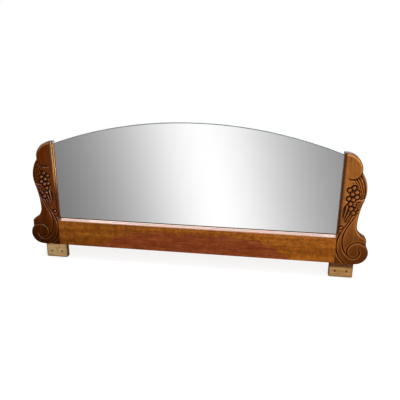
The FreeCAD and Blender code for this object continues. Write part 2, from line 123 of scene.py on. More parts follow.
class Graph:
    """Adds nodes to a node tree and wires them."""

    def __init__(self, tree: bpy.types.NodeTree) -> None:
        """Keeps the tree that the nodes go into."""
        self.tree = tree

    def add(self, kind: str, inputs: dict[Any, Any] | None = None, **settings: Any) -> bpy.types.Node:
        """Adds one node.

        Args:
            kind: Type of the node.
            inputs: Value or source socket for each input, by name or number.
            settings: Properties of the node itself.

        Returns:
            The new node.
        """
        node = self.tree.nodes.new(kind)
        for name, value in settings.items():
            setattr(node, name, value)
        self.fill(node, inputs or {})
        return node

    def fill(self, node: bpy.types.Node, inputs: dict[Any, Any]) -> None:
        """Sets or wires a node's inputs.

        Args:
            node: The node.
            inputs: Value or source socket for each input, by name or number.
        """
        for key, value in inputs.items():
            if isinstance(value, Socket):
                self.tree.links.new(value, node.inputs[key])
            else:
                node.inputs[key].default_value = value

    def math(self, operation: str, *values: Any) -> Socket:
        """Adds a Math node and returns its result."""
        return self.add("ShaderNodeMath", dict(enumerate(values)), operation=operation).outputs[0]

    def mix(self, share: Any, first: Any, second: Any, blend: str = "MIX") -> Socket:
        """Mixes two colours or sockets by the share of the second one."""
        inputs = {"Factor": share, 6: opaque(first), 7: opaque(second)}
        return self.add("ShaderNodeMix", inputs, data_type="RGBA", blend_type=blend).outputs[2]

    def ramp(self, share: Any, stops: Sequence[float], colours: Sequence[Colour]) -> Socket:
        """Adds a colour ramp.

        Args:
            share: Socket that is looked up.
            stops: Place of each stop, in order.
            colours: Colour of each stop.

        Returns:
            The ramp's colour socket.
        """
        node = self.add("ShaderNodeValToRGB", {"Fac": share})
        elements = node.color_ramp.elements
        while len(elements) < len(stops):
            elements.new(1.0)
        for element, stop, colour in zip(elements, stops, colours):
            element.position = stop
            element.color = opaque(colour)
        return node.outputs["Color"]

    def band(self, value: Any, low: float, high: float) -> Socket:
        """Rises smoothly from 0 to 1 while a value goes from low to high, which may be the smaller one."""
        inputs = {"Value": value, 1: low, 2: high}
        return self.add("ShaderNodeMapRange", inputs, interpolation_type="SMOOTHSTEP").outputs[0]

    def place(self) -> Socket:
        """Adds the place on the piece, in metres."""
        return self.add("ShaderNodeTexCoord").outputs["Object"]

    def parts(self, place: Socket) -> dict[str, Socket]:
        """Splits a place or a direction into its X, Y and Z."""
        outputs = self.add("ShaderNodeSeparateXYZ", {"Vector": place}).outputs
        return {axis: outputs[axis] for axis in "XYZ"}

    def stretched(self, place: Socket, scale: Spot) -> Socket:
        """Scales a place along each axis, which stretches a pattern laid on it."""
        return self.add("ShaderNodeMapping", {"Vector": place, "Scale": scale}).outputs[0]

    def noise(self, place: Socket, pattern: Noise) -> Socket:
        """Lays a cloudy pattern, from 0 to 1, on a place."""
        measures = {name.title(): value for name, value in vars(pattern).items()}
        return self.add("ShaderNodeTexNoise", {"Vector": place, **measures}).outputs["Fac"]

    def mark(self, name: str) -> Socket:
        """Reads a share that the mesh keeps at its points."""
        return self.add("ShaderNodeAttribute", attribute_name=name).outputs["Fac"]

    def bump(self, main: bpy.types.Node, pattern: Socket, strength: float, height: float) -> None:
        """Roughens the main shader's surface with a pattern of a strength and a height in metres."""
        inputs = {"Strength": strength, "Distance": height, "Height": pattern}
        self.fill(main, {"Normal": self.add("ShaderNodeBump", inputs).outputs[0]})


def opaque(colour: Any) -> Any:
    """Adds a full alpha to a plain colour and leaves a socket as it is."""
    return (*colour, 1.0) if isinstance(colour, tuple) and len(colour) == 3 else colour


def shader(name: str) -> tuple[Material, Graph, bpy.types.Node]:
    """Makes an empty material with its main shader node.

    Args:
        name: Name of the material.

    Returns:
        The material, its graph and its main shader.
    """
    material = bpy.data.materials.new(name)
    material.use_nodes = True
    graph = Graph(material.node_tree)
    return material, graph, material.node_tree.nodes["Principled BSDF"]


# Finishes


@dataclass(frozen=True)
class StainedWood:
    """Lacquered walnut-brown wood; its colour takes staining and painted shade in the carving's hollows,
    rubbed wood and painted light on its ridges, and painted highlights.
    """

    name: str
    grain: Grain
    dark: Colour
    middle: Colour
    light: Colour
    # The hollow colour is staining and painted shade, the ridge colour rubbed wood and painted light, and
    # the next colour a painted highlight.
    hollow: Colour = srgb(30, 10, 4)
    ridge: Colour = srgb(186, 104, 34)
    painted_gleam: Colour = srgb(216, 166, 104)
    streaks: Noise = Noise(34.0, 5.0, 0.62, 0.5)
    streak_stops: tuple[float, ...] = (0.32, 0.5, 0.7)
    pores: Noise = Noise(260.0, 4.0, 0.7)
    pore_span: Span = (0.36, 0.62)
    pore_shade: float = 0.4
    relief: float = 0.12
    relief_height: float = 0.4 * MM
    blotches: Noise = Noise(55.0, 6.0, 0.7)
    blotch_span: Span = (0.3, 0.7)
    mottle: float = 0.14
    sheen_span: Span = (0.3, 0.7)
    roughness: Span = (0.45, 0.3)
    specular: float = 0.02
    coat: float = 0.5
    coat_roughness: float = 0.07
    hollow_coat: float = 0.15
    foot_tone: Colour = srgb(84, 34, 2)
    foot_shade: float = 0.0
    foot_top: float = 200 * MM
    foot_coat: float = 1.0

    def figure(self, graph: Graph) -> tuple[Socket, Socket]:
        """Adds the streaks that run along the grain.

        Args:
            graph: Graph of the material.

        Returns:
            The colour of the figured wood and the fine pores.
        """
        place = graph.place()
        along = graph.stretched(place, self.grain.value)
        streaks = graph.noise(along, self.streaks)
        pores = graph.noise(along, self.pores)
        colour = graph.ramp(streaks, self.streak_stops, (self.dark, self.middle, self.light))
        speck = graph.band(pores, *self.pore_span)
        colour = graph.mix(speck, graph.mix(self.pore_shade, colour, self.dark), colour)
        blotch = graph.band(graph.noise(place, self.blotches), *self.blotch_span)
        tone = graph.math("MULTIPLY_ADD", blotch, 2 * self.mottle, 1 - self.mottle)
        return graph.mix(1.0, colour, tone, "MULTIPLY"), pores

    def build(self) -> Material:
        """Makes the material.

        Returns:
            The material, which reads the marks of the carving from the mesh.
        """
        material, graph, main = shader(self.name)
        colour, pores = self.figure(graph)
        carved = graph.mark("hollow")
        foot = self.foot(graph)
        colour = graph.mix(graph.math("MULTIPLY", foot, self.foot_shade), colour, self.foot_tone)
        # Rubbed wood and painted light, then staining and painted shade, then painted highlight, each from
        # its mark on the mesh.
        colour = graph.mix(graph.mark("ridge"), colour, self.ridge)
        colour = graph.mix(carved, colour, self.hollow)
        colour = graph.mix(graph.mark("painted_gleam"), colour, self.painted_gleam)
        lacquer = graph.math("MULTIPLY_ADD", carved, self.coat * (self.hollow_coat - 1), self.coat)
        worn = graph.math("MULTIPLY_ADD", foot, self.foot_coat - 1, 1.0)
        sheen = dict(enumerate((pores, *self.sheen_span, *self.roughness)))
        inputs = {
            "Base Color": colour,
            "Roughness": graph.add("ShaderNodeMapRange", sheen).outputs[0],
            "Specular IOR Level": self.specular,
            "Coat Weight": graph.math("MULTIPLY", lacquer, worn),
            "Coat Roughness": self.coat_roughness,
        }
        graph.fill(main, inputs)
        graph.bump(main, pores, self.relief, self.relief_height)
        return material

    def foot(self, graph: Graph) -> Socket:
        """Grows from 0 at the foot's top to 1 at the piece's underside."""
        return graph.band(graph.parts(graph.place())["Z"], self.foot_top, 0.0)


@dataclass(frozen=True)
class FadedRailWood(StainedWood):
    """Stained rail whose middle was rubbed back to a redder tone."""

    faded_dark: Colour = srgb(84, 26, 10)
    faded_light: Colour = srgb(142, 70, 40)
    faded_stops: tuple[float, ...] = (0.3, 0.72)
    faded_share: float = 0.78
    faded_half_low: float = 400 * MM
    faded_half_high: float = 255 * MM
    faded_top: float = 88 * MM
    faded_edge: float = 16 * MM
    ragged: Noise = Noise(9.0, 5.0, 0.6)
    ragged_reach: float = 60 * MM
    rub_stretch: Spot = (0.4, 1.0, 1.0)
    rub_least: float = 0.68
    rub_gain: float = 0.6
    scratched: Colour = srgb(176, 112, 80)
    scratch_span: Span = (0.63, 0.7)
    scratch_share: float = 0.4
    lean: float = 0.28

    def figure(self, graph: Graph) -> tuple[Socket, Socket]:
        """Adds the streaks, lighter to the right and redder within the rubbed part of the rail.

        Args:
            graph: Graph of the material.

        Returns:
            The colour of the figured wood and the fine pores.
        """
        colour, pores = super().figure(graph)
        place = graph.place()
        tone = graph.math("MULTIPLY_ADD", graph.parts(place)["X"], self.lean, 1.0)
        colour = graph.mix(1.0, colour, tone, "MULTIPLY")
        red = graph.ramp(pores, self.faded_stops, (self.faded_dark, self.faded_light))
        rubs = graph.noise(graph.stretched(place, self.rub_stretch), self.blotches)
        tone = graph.math("MULTIPLY_ADD", graph.band(rubs, *self.blotch_span), self.rub_gain, self.rub_least)
        red = graph.mix(1.0, red, tone, "MULTIPLY")
        scratch = graph.math("MULTIPLY", graph.band(rubs, *self.scratch_span), self.scratch_share)
        red = graph.mix(scratch, red, self.scratched)
        share = graph.math("MULTIPLY", self.faded(graph, place), self.faded_share)
        return graph.mix(share, colour, red), pores

    def faded(self, graph: Graph, place: Socket) -> Socket:
        """Marks the rubbed part, which narrows upwards and has a ragged edge.

        Args:
            graph: Graph of the material.
            place: Place on the piece.

        Returns:
            From 0 outside the part to 1 within it.
        """
        parts = graph.parts(place)
        ragged = graph.noise(place, self.ragged)
        spread = graph.math("MULTIPLY_ADD", ragged, 2 * self.ragged_reach, -self.ragged_reach)
        narrowing = (self.faded_half_high - self.faded_half_low) / self.faded_top
        half = graph.math("MULTIPLY_ADD", parts["Z"], narrowing, self.faded_half_low)
        reach = graph.math("ADD", half, spread)
        inside = graph.math("SUBTRACT", reach, graph.math("ABSOLUTE", parts["X"]))
        sideways = graph.band(inside, -self.faded_edge, self.faded_edge)
        level = graph.math("ADD", parts["Z"], spread)
        upwards = graph.band(level, self.faded_top, self.faded_top - self.faded_edge)
        return graph.math("MULTIPLY", sideways, upwards)


@dataclass(frozen=True)
class RawWood:
    """Bare sawn wood, darker above a line from staining and painted shadow, with painted shade at its holes
    and along its rim, and grime in smudges.
    """

    name: str
    light: Colour
    dark: Colour
    # Colour of the darker band above the line: staining and painted shadow under the rail.
    stain: Colour
    stain_line: float
    stain_edge: Span = (-3 * MM, 5 * MM)
    stain_wander: float = 6 * MM
    stain_share: float = 0.9
    streaks: Noise = Noise(110.0, 6.0, 0.65)
    streak_stops: tuple[float, ...] = (0.3, 0.68)
    relief: float = 0.3
    relief_height: float = 0.5 * MM
    holes: tuple[Place, ...] = ()
    hole_edge: Span = (5 * MM, 3 * MM)
    # Painted shade at the holes; the next colour is painted shade along the rim and grime in smudges.
    hole_painted_shade: Colour = srgb(24, 14, 8)
    dirt: Colour = srgb(66, 42, 20)
    rim: Spot | None = None
    rim_shade_width: float = 7 * MM
    rim_shade_share: float = 0.75
    smudges: Noise = Noise(45.0, 4.0)
    smudge_span: Span = (0.5, 0.72)
    smudge_share: float = 0.4
    roughness: float = 0.7
    specular: float = 0.15

    def build(self) -> Material:
        """Makes the material.

        Returns:
            The material, darker above its line and with painted shade at its holes.
        """
        material, graph, main = shader(self.name)
        place = graph.place()
        streaks = graph.noise(graph.stretched(place, Grain.ALONG_RAIL.value), self.streaks)
        colour = graph.ramp(streaks, self.streak_stops, (self.dark, self.light))
        # Darker band above the line: staining and painted shadow under the rail.
        level = graph.math("MULTIPLY_ADD", streaks, self.stain_wander, graph.parts(place)["Z"])
        dark_band = graph.band(level, *(self.stain_line + offset for offset in self.stain_edge))
        colour = graph.mix(graph.math("MULTIPLY", dark_band, self.stain_share), colour, self.stain)
        # Painted shade along the rim, and grime in smudges.
        if self.rim:
            colour = graph.mix(self.dirt_and_edge_shade(graph, place), colour, self.dirt)
        # Painted shade at each hole.
        for x, z in self.holes:
            flat = graph.stretched(place, (1.0, 0.0, 1.0))
            away = graph.add("ShaderNodeVectorMath", {0: flat, 1: (x, 0.0, z)}, operation="DISTANCE")
            near = graph.band(away.outputs["Value"], *self.hole_edge)
            colour = graph.mix(near, colour, self.hole_painted_shade)
        inputs = {"Base Color": colour, "Roughness": self.roughness, "Specular IOR Level": self.specular}
        graph.fill(main, inputs)
        graph.bump(main, streaks, self.relief, self.relief_height)
        return material

    def dirt_and_edge_shade(self, graph: Graph, place: Socket) -> Socket:
        """Painted shade along the rim, and grime in a few smudges.

        Args:
            graph: Graph of the material.
            place: Place on the piece.

        Returns:
            Share of painted shade and grime.
        """
        middle, half, foot = self.rim
        parts = graph.parts(place)
        aside = graph.math("ABSOLUTE", graph.math("SUBTRACT", parts["X"], middle))
        sides = graph.band(aside, half - self.rim_shade_width, half)
        under = graph.band(parts["Z"], foot + self.rim_shade_width, foot)
        rim = graph.math("MULTIPLY", graph.math("MAXIMUM", sides, under), self.rim_shade_share)
        smudge = graph.band(graph.noise(place, self.smudges), *self.smudge_span)
        return graph.math("MAXIMUM", rim, graph.math("MULTIPLY", smudge, self.smudge_share))


@dataclass(frozen=True)
class PanelBoard:
    """Unfinished plywood of the back, with its grain along the rail."""

    name: str = "bare_plywood"
    light: Colour = srgb(188, 150, 104)
    dark: Colour = srgb(142, 102, 62)
    figure: Noise = Noise(30.0, 6.0, 0.7, 1.2)
    figure_stops: tuple[float, ...] = (0.32, 0.66)
    relief: float = 0.2
    relief_height: float = 0.3 * MM
    aged: Colour = srgb(120, 84, 50)
    clouds: Noise = Noise(5.0, 5.0)
    cloud_span: Span = (0.45, 0.75)
    cloud_share: float = 0.6
    roughness: float = 0.75

    def build(self) -> Material:
        """Makes the material.

        Returns:
            The material, clouded with age.
        """
        material, graph, main = shader(self.name)
        place = graph.place()
        figure = graph.noise(graph.stretched(place, Grain.ALONG_RAIL.value), self.figure)
        colour = graph.ramp(figure, self.figure_stops, (self.dark, self.light))
        cloud = graph.band(graph.noise(place, self.clouds), *self.cloud_span)
        colour = graph.mix(graph.math("MULTIPLY", cloud, self.cloud_share), colour, self.aged)
        graph.fill(main, {"Base Color": colour, "Roughness": self.roughness})
        graph.bump(main, figure, self.relief, self.relief_height)
        return material


@dataclass(frozen=True)
class SilveredGlass:
    """Mirror plate: bright silvering behind the face, green ground edges and a painted back."""

    name: str = "silvered_glass"
    silver: Colour = (0.94, 0.94, 0.94)
    clouded: Colour = (0.925, 0.925, 0.925)
    clouds: Noise = Noise(3.0, 4.0)
    cloud_stops: tuple[float, ...] = (0.3, 0.6)
    edge_dark: Colour = srgb(64, 78, 79)
    edge_light: Colour = srgb(102, 119, 117)
    grind: Noise = Noise(26.0, 3.0)
    grind_stops: tuple[float, ...] = (0.3, 0.7)
    grind_gain: float = 0.2
    grind_least: float = 0.15
    paint: Colour = srgb(96, 84, 76)
    worn_paint: Colour = srgb(122, 108, 96)
    brush: Noise = Noise(20.0, 6.0)
    brush_stops: tuple[float, ...] = (0.35, 0.7)
    paint_roughness: float = 0.5

    def build(self) -> tuple[Material, ...]:
        """Makes the materials of the face, the edge and the back."""
        return self.face(), self.edge(), self.rear()

    def face(self) -> Material:
        """Makes the silvered face with faint clouds of age.

        Returns:
            The material of the face.
        """
        material, graph, main = shader(self.name)
        cloud = graph.noise(graph.place(), self.clouds)
        colour = graph.ramp(cloud, self.cloud_stops, (self.clouded, self.silver))
        graph.fill(main, {"Base Color": colour, "Metallic": 1.0, "Roughness": 0.0})
        return material

    def edge(self) -> Material:
        """Makes the ground edge, which shows the green of the glass.

        Returns:
            The material of the edge.
        """
        material, graph, main = shader("ground_glass_edge")
        grind = graph.noise(graph.place(), self.grind)
        colour = graph.ramp(grind, self.grind_stops, (self.edge_dark, self.edge_light))
        rough = graph.math("MULTIPLY_ADD", grind, self.grind_gain, self.grind_least)
        graph.fill(main, {"Base Color": colour, "Roughness": rough})
        return material

    def rear(self) -> Material:
        """Makes the painted back of the silvering.

        Returns:
            The material of the back.
        """
        material, graph, main = shader("silvering_paint")
        brush = graph.noise(graph.place(), self.brush)
        colour = graph.ramp(brush, self.brush_stops, (self.paint, self.worn_paint))
        graph.fill(main, {"Base Color": colour, "Roughness": self.paint_roughness})
        return material


@dataclass(frozen=True)
class ScrewSteel:
    """Dull steel with brown rust in patches."""

    name: str = "dull_screw_steel"
    bright: Colour = srgb(168, 164, 156)
    dull: Colour = srgb(118, 112, 104)
    wear: Noise = Noise(420.0, 4.0)
    wear_stops: tuple[float, ...] = (0.3, 0.7)
    wear_gain: float = 0.3
    wear_least: float = 0.25
    rust: Colour = srgb(96, 62, 38)
    patches: Noise = Noise(160.0, 2.0)
    patch_span: Span = (0.55, 0.72)

    def build(self) -> Material:
        """Makes the material.

        Returns:
            The material, metal outside its rust.
        """
        material, graph, main = shader(self.name)
        place = graph.place()
        wear = graph.noise(place, self.wear)
        rusty = graph.band(graph.noise(place, self.patches), *self.patch_span)
        colour = graph.mix(rusty, graph.ramp(wear, self.wear_stops, (self.dull, self.bright)), self.rust)
        inputs = {
            "Base Color": colour,
            "Metallic": graph.math("SUBTRACT", 1.0, rusty),
            "Roughness": graph.math("MULTIPLY_ADD", wear, self.wear_gain, self.wear_least),
        }
        graph.fill(main, inputs)
        return material


# Meshes


def new_piece(name: str, mesh: bpy.types.Mesh, *finishes: Material) -> bpy.types.Object:
    """Puts a finished mesh into the scene.

    Args:
        name: Name of the piece.
        mesh: Its mesh, in place.
        finishes: Its materials, in the order of its faces' numbers.

    Returns:
        The new object.
    """
    while len(mesh.materials) > 0:
        mesh.materials.pop()
    for finish in finishes:
        mesh.materials.append(finish)
    piece = bpy.data.objects.new(name, mesh)
    bpy.context.scene.collection.objects.link(piece)
    return piece


def dress(piece: bpy.types.Object, slot: str, *nodes: str) -> bpy.types.Object:
    """Lets a piece ride on the frame in place of its CAD nodes.

    Args:
        piece: The finished piece.
        slot: The record's material slot; not used.
        nodes: CAD nodes that the piece stands for.

    Returns:
        The piece.
    """
    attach(piece, BODY)
    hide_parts(*nodes)
    LOG.info("%s: %d faces", piece.name, len(piece.data.polygons))
    return piece


def close_mesh(name: str, work: bmesh.types.BMesh, crease: float = 35.0) -> bpy.types.Mesh:
    """Merges doubles, turns the faces outwards and shades them.

    Args:
        name: Name of the mesh.
        work: The faces so far.
        crease: Angle in degrees from which an edge stays sharp.

    Returns:
        The finished mesh.
    """
    bmesh.ops.remove_doubles(work, verts=work.verts, dist=MERGE_GAP)
    bmesh.ops.dissolve_degenerate(work, edges=work.edges, dist=MERGE_GAP)
    bmesh.ops.recalc_face_normals(work, faces=work.faces)
    mesh = bpy.data.meshes.new(name)
    work.to_mesh(mesh)
    work.free()
    mesh.shade_smooth()
    mesh.set_sharp_from_angle(angle=math.radians(crease))
    return mesh


def ease_edges(work: bmesh.types.BMesh, width: float, angle: float = 30.0, segments: int = 3) -> None:
    """Rounds every edge that is sharper than an angle.

    Args:
        work: The mesh.
        width: How far the rounding reaches.
        angle: Smallest angle in degrees that is rounded.
        segments: Number of faces across the rounding.
    """
    limit = math.radians(angle)
    sharp = [e for e in work.edges if len(e.link_faces) == 2 and e.calc_face_angle() > limit]
    bmesh.ops.bevel(work, geom=sharp, offset=width, segments=segments, profile=0.5, affect="EDGES")


def walls(
    work: bmesh.types.BMesh, rings: Sequence[Sequence[bmesh.types.BMVert]]
) -> list[bmesh.types.BMFace]:
    """Joins rings with equal numbers of points by faces.

    Args:
        work: Mesh that the points belong to.
        rings: Points of each ring, in order.

    Returns:
        The new faces.
    """
    faces = []
    for low, high in zip(rings, rings[1:]):
        for m in range(len(low)):
            k = (m + 1) % len(low)
            faces.append(work.faces.new((low[m], low[k], high[k], high[m])))
    return faces


# Frame


@dataclass(frozen=True)
class FrameSizes:
    """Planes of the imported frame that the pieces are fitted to."""

    inner_x: float
    front: float
    back: float
    rail_height: float
    cheek_height: float
    cheek_width: float
    glass_front: float
    glass_back: float
    glass_bottom: float
    glass_side: float
    glass_top: float
    panel_back: float
    panel_bottom: float
    panel_side: float
    panel_top: float

    @classmethod
    def measure(cls) -> "FrameSizes":
        """Reads the planes off the CAD nodes.

        Returns:
            The planes.
        """
        _, rail_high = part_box("bottom_rail")
        cheek_low, cheek_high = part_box("right_cheek")
        glass_low, glass_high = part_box("mirror_glass")
        panel_low, panel_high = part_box("back_panel")
        return cls(
            inner_x=rail_high.x,
            front=cheek_low.y,
            back=cheek_high.y,
            rail_height=rail_high.z,
            cheek_height=cheek_high.z,
            cheek_width=cheek_high.x - cheek_low.x,
            glass_front=glass_low.y,
            glass_back=glass_high.y,
            glass_bottom=glass_low.z,
            glass_side=glass_high.x,
            glass_top=glass_high.z,
            panel_back=panel_high.y,
            panel_bottom=panel_low.z,
            panel_side=panel_high.x,
            panel_top=panel_high.z,
        )


# Cheeks


@dataclass(frozen=True)
class Bend:
    """Arc on a cheek's face, with its centre's reach from the inner face and its height."""

    centre: Place
    radius: float
    start: float
    end: float

    def points(self, step: float) -> Array:
        """Follows the arc.

        Args:
            step: Distance between the places, about.

        Returns:
            Places along the arc, one in each row.
        """
        first, last = math.radians(self.start), math.radians(self.end)
        count = max(2, math.ceil(abs(last - first) * self.radius / step) + 1)
        angles = np.linspace(first, last, count)
        return np.array(self.centre) + self.radius * np.stack([np.cos(angles), np.sin(angles)], 1)

    def tip(self) -> Place:
        """Place where the arc ends."""
        return reached(self.centre, self.end, self.radius)


@dataclass(frozen=True)
class Run:
    """Straight line on a cheek's face."""

    first: Place
    last: Place

    def points(self, step: float) -> Array:
        """Places along the line, about a step apart."""
        count = max(2, math.ceil(math.dist(self.first, self.last) / step) + 1)
        return np.linspace(self.first, self.last, count)


def reached(place: Place, heading: float, distance: float) -> Place:
    """Place at a distance from another one, in a direction in degrees."""
    turn = math.radians(heading)
    return (place[0] + distance * math.cos(turn), place[1] + distance * math.sin(turn))


def bearing(centre: Place, place: Place) -> float:
    """Angle in degrees from a centre to a place."""
    return math.degrees(math.atan2(place[1] - centre[1], place[0] - centre[0]))


@dataclass(frozen=True)
class Stroke:
    """Line of straight runs and bends, each tangent to the one before.

    A move is the radius and the degrees to the left of a bend, or 0 and the length of a straight run.
    """

    start: Place
    heading: float
    moves: tuple[Move, ...]

    def points(self, origin: Place, step: float) -> Array:
        """Follows the line.

        Args:
            origin: Place that the start is measured from.
            step: Distance between the places, about.

        Returns:
            Places along the line.
        """
        place = (origin[0] + self.start[0], origin[1] + self.start[1])
        heading = self.heading
        pieces = []
        for radius, amount in self.moves:
            if radius == 0:
                end = reached(place, heading, amount)
                pieces.append(Run(place, end).points(step))
            else:
                side = math.copysign(90.0, amount)
                centre = reached(place, heading + side, radius)
                bend = Bend(centre, radius, heading - side, heading - side + amount)
                pieces.append(bend.points(step))
                end = bend.tip()
                heading += amount
            place = end
        return np.concatenate(pieces)


def nearest(points: Array, path: Array) -> tuple[Array, Array]:
    """Finds how far places lie from a path.

    Args:
        points: Places, one in each row.
        path: Places along the path.

    Returns:
        Distance of each place, and its share along the path.
    """
    start = path[:-1]
    along = path[1:] - start
    length = (along**2).sum(1)
    best = np.full(len(points), np.inf)
    share = np.zeros(len(points))
    for number in range(len(start)):
        offset = points - start[number]
        part = np.clip(offset @ along[number] / max(length[number], 1e-12), 0, 1)
        gap = ((offset - part[:, None] * along[number]) ** 2).sum(1)
        closer = gap < best
        best[closer] = gap[closer]
        share[closer] = (number + part[closer]) / len(start)
    return np.sqrt(best), share


def smooth(value: Array, low: float, high: float) -> Array:
    """Rises smoothly from 0 to 1 between two values."""
    part = np.clip((value - low) / (high - low), 0, 1)
    return part * part * (3 - 2 * part)


@dataclass(frozen=True)
class Cut:
    """Line that a carving tool cuts, shallower towards an end that fades."""

    path: Array
    width: float
    depth: float
    fade_first: float = 0.0
    fade_last: float = 0.0

    def sink(self, points: Array) -> Array:
        """Works out how deep the cut is.

        Args:
            points: Places on the face.

        Returns:
            Depth of the cut at each place.
        """
        low = self.path.min(0) - self.width
        high = self.path.max(0) + self.width
        near = np.all((points > low) & (points < high), 1)
        depth = np.zeros(len(points))
        if not near.any():
            return depth
        gap, share = nearest(points[near], self.path)
        wall = 0.5 + 0.5 * np.cos(np.pi * np.clip(gap / (self.width / 2), 0, 1))
        ends = np.ones(len(gap))
        if self.fade_first:
            ends *= smooth(share, 0, self.fade_first)
        if self.fade_last:
            ends *= smooth(1 - share, 0, self.fade_last)
        depth[near] = self.depth * wall * ends
        return depth


@dataclass(frozen=True)
class CheekOutline:
    """Outer edge of a cheek: a scroll, a shoulder, a throat, a leaf's back and a lobe."""

    width: float
    height: float
    lobe_radius: float = 66.5 * MM
    lobe_reach: float = 72.3 * MM
    leaf_radius: float = 125 * MM
    leaf_reach: float = 95.5 * MM
    leaf_share: float = 0.6733
    throat_setback: float = 22.5 * MM
    throat_share: float = 0.365
    shoulder_radius: float = 19 * MM
    shoulder_setback: float = 11 * MM
    shoulder_height: float = 99.5 * MM
    scroll_radius: float = 48.5 * MM

    @property
    def scroll_centre(self) -> Place:
        """Middle of the scroll."""
        return (self.width - self.scroll_radius, self.scroll_radius)

    @property
    def lobe_centre(self) -> Place:
        """Middle of the lobe."""
        return (self.lobe_reach - self.lobe_radius, self.height - self.lobe_radius)

    @property
    def leaf_centre(self) -> Place:
        """Middle of the leaf's back."""
        return (self.leaf_reach - self.leaf_radius, self.height * self.leaf_share)

    @property
    def shoulder_centre(self) -> Place:
        """Middle of the shoulder's rounding."""
        return (self.width - self.shoulder_setback - self.shoulder_radius, self.shoulder_height)

    @property
    def notch(self) -> Place:
        """Place where the shoulder meets the scroll."""
        rise = math.sqrt(self.scroll_radius**2 - (self.scroll_radius - self.shoulder_setback) ** 2)
        return (self.width - self.shoulder_setback, self.scroll_radius + rise)

    def throat_blend(self, centre: Place, radius: float) -> tuple[Place, float]:
        """Finds the hollow that runs smoothly from the throat into a rounding.

        Args:
            centre: Middle of the rounding.
            radius: Its radius.

        Returns:
            Middle and radius of the hollow.
        """
        reach = self.leaf_reach - self.throat_setback
        level = self.height * self.throat_share
        inset = reach - centre[0]
        rise = level - centre[1]
        hollow = (radius**2 - inset**2 - rise**2) / (2 * (inset - radius))
        return (reach + hollow, level), hollow

    def pieces(self) -> list[Bend | Run]:
        """Draws the edge.

        Returns:
            Arcs and lines from the bottom of the scroll to the top of the lobe.
        """
        low, low_radius = self.throat_blend(self.shoulder_centre, self.shoulder_radius)
        high, high_radius = self.throat_blend(self.leaf_centre, self.leaf_radius)
        shoulder_end = bearing(self.shoulder_centre, low)
        leaf_start = bearing(self.leaf_centre, high)
        crossing = self.lobe_crossing()
        return [
            Bend(self.scroll_centre, self.scroll_radius, -90, bearing(self.scroll_centre, self.notch)),
            Run(self.notch, (self.notch[0], self.shoulder_height)),
            Bend(self.shoulder_centre, self.shoulder_radius, 0, shoulder_end),
            Bend(low, low_radius, shoulder_end + 180, 180),
            Bend(high, high_radius, 180, leaf_start + 180),
            Bend(self.leaf_centre, self.leaf_radius, leaf_start, bearing(self.leaf_centre, crossing)),
            Bend(self.lobe_centre, self.lobe_radius, bearing(self.lobe_centre, crossing), 90),
        ]

    def lobe_crossing(self) -> Place:
        """Finds where the leaf's back meets the lobe.

        Returns:
            The outer one of the two places.
        """
        apart = math.dist(self.leaf_centre, self.lobe_centre)
        along = (apart**2 + self.leaf_radius**2 - self.lobe_radius**2) / (2 * apart)
        swing = math.degrees(math.acos(along / self.leaf_radius))
        heading = bearing(self.leaf_centre, self.lobe_centre) - swing
        return reached(self.leaf_centre, heading, self.leaf_radius)

    def points(self, step: float) -> Array:
        """Places along the whole edge, each once, from bottom to top."""
        runs = [piece.points(step) for piece in self.pieces()]
        return np.concatenate([runs[0]] + [run[1:] for run in runs[1:]])


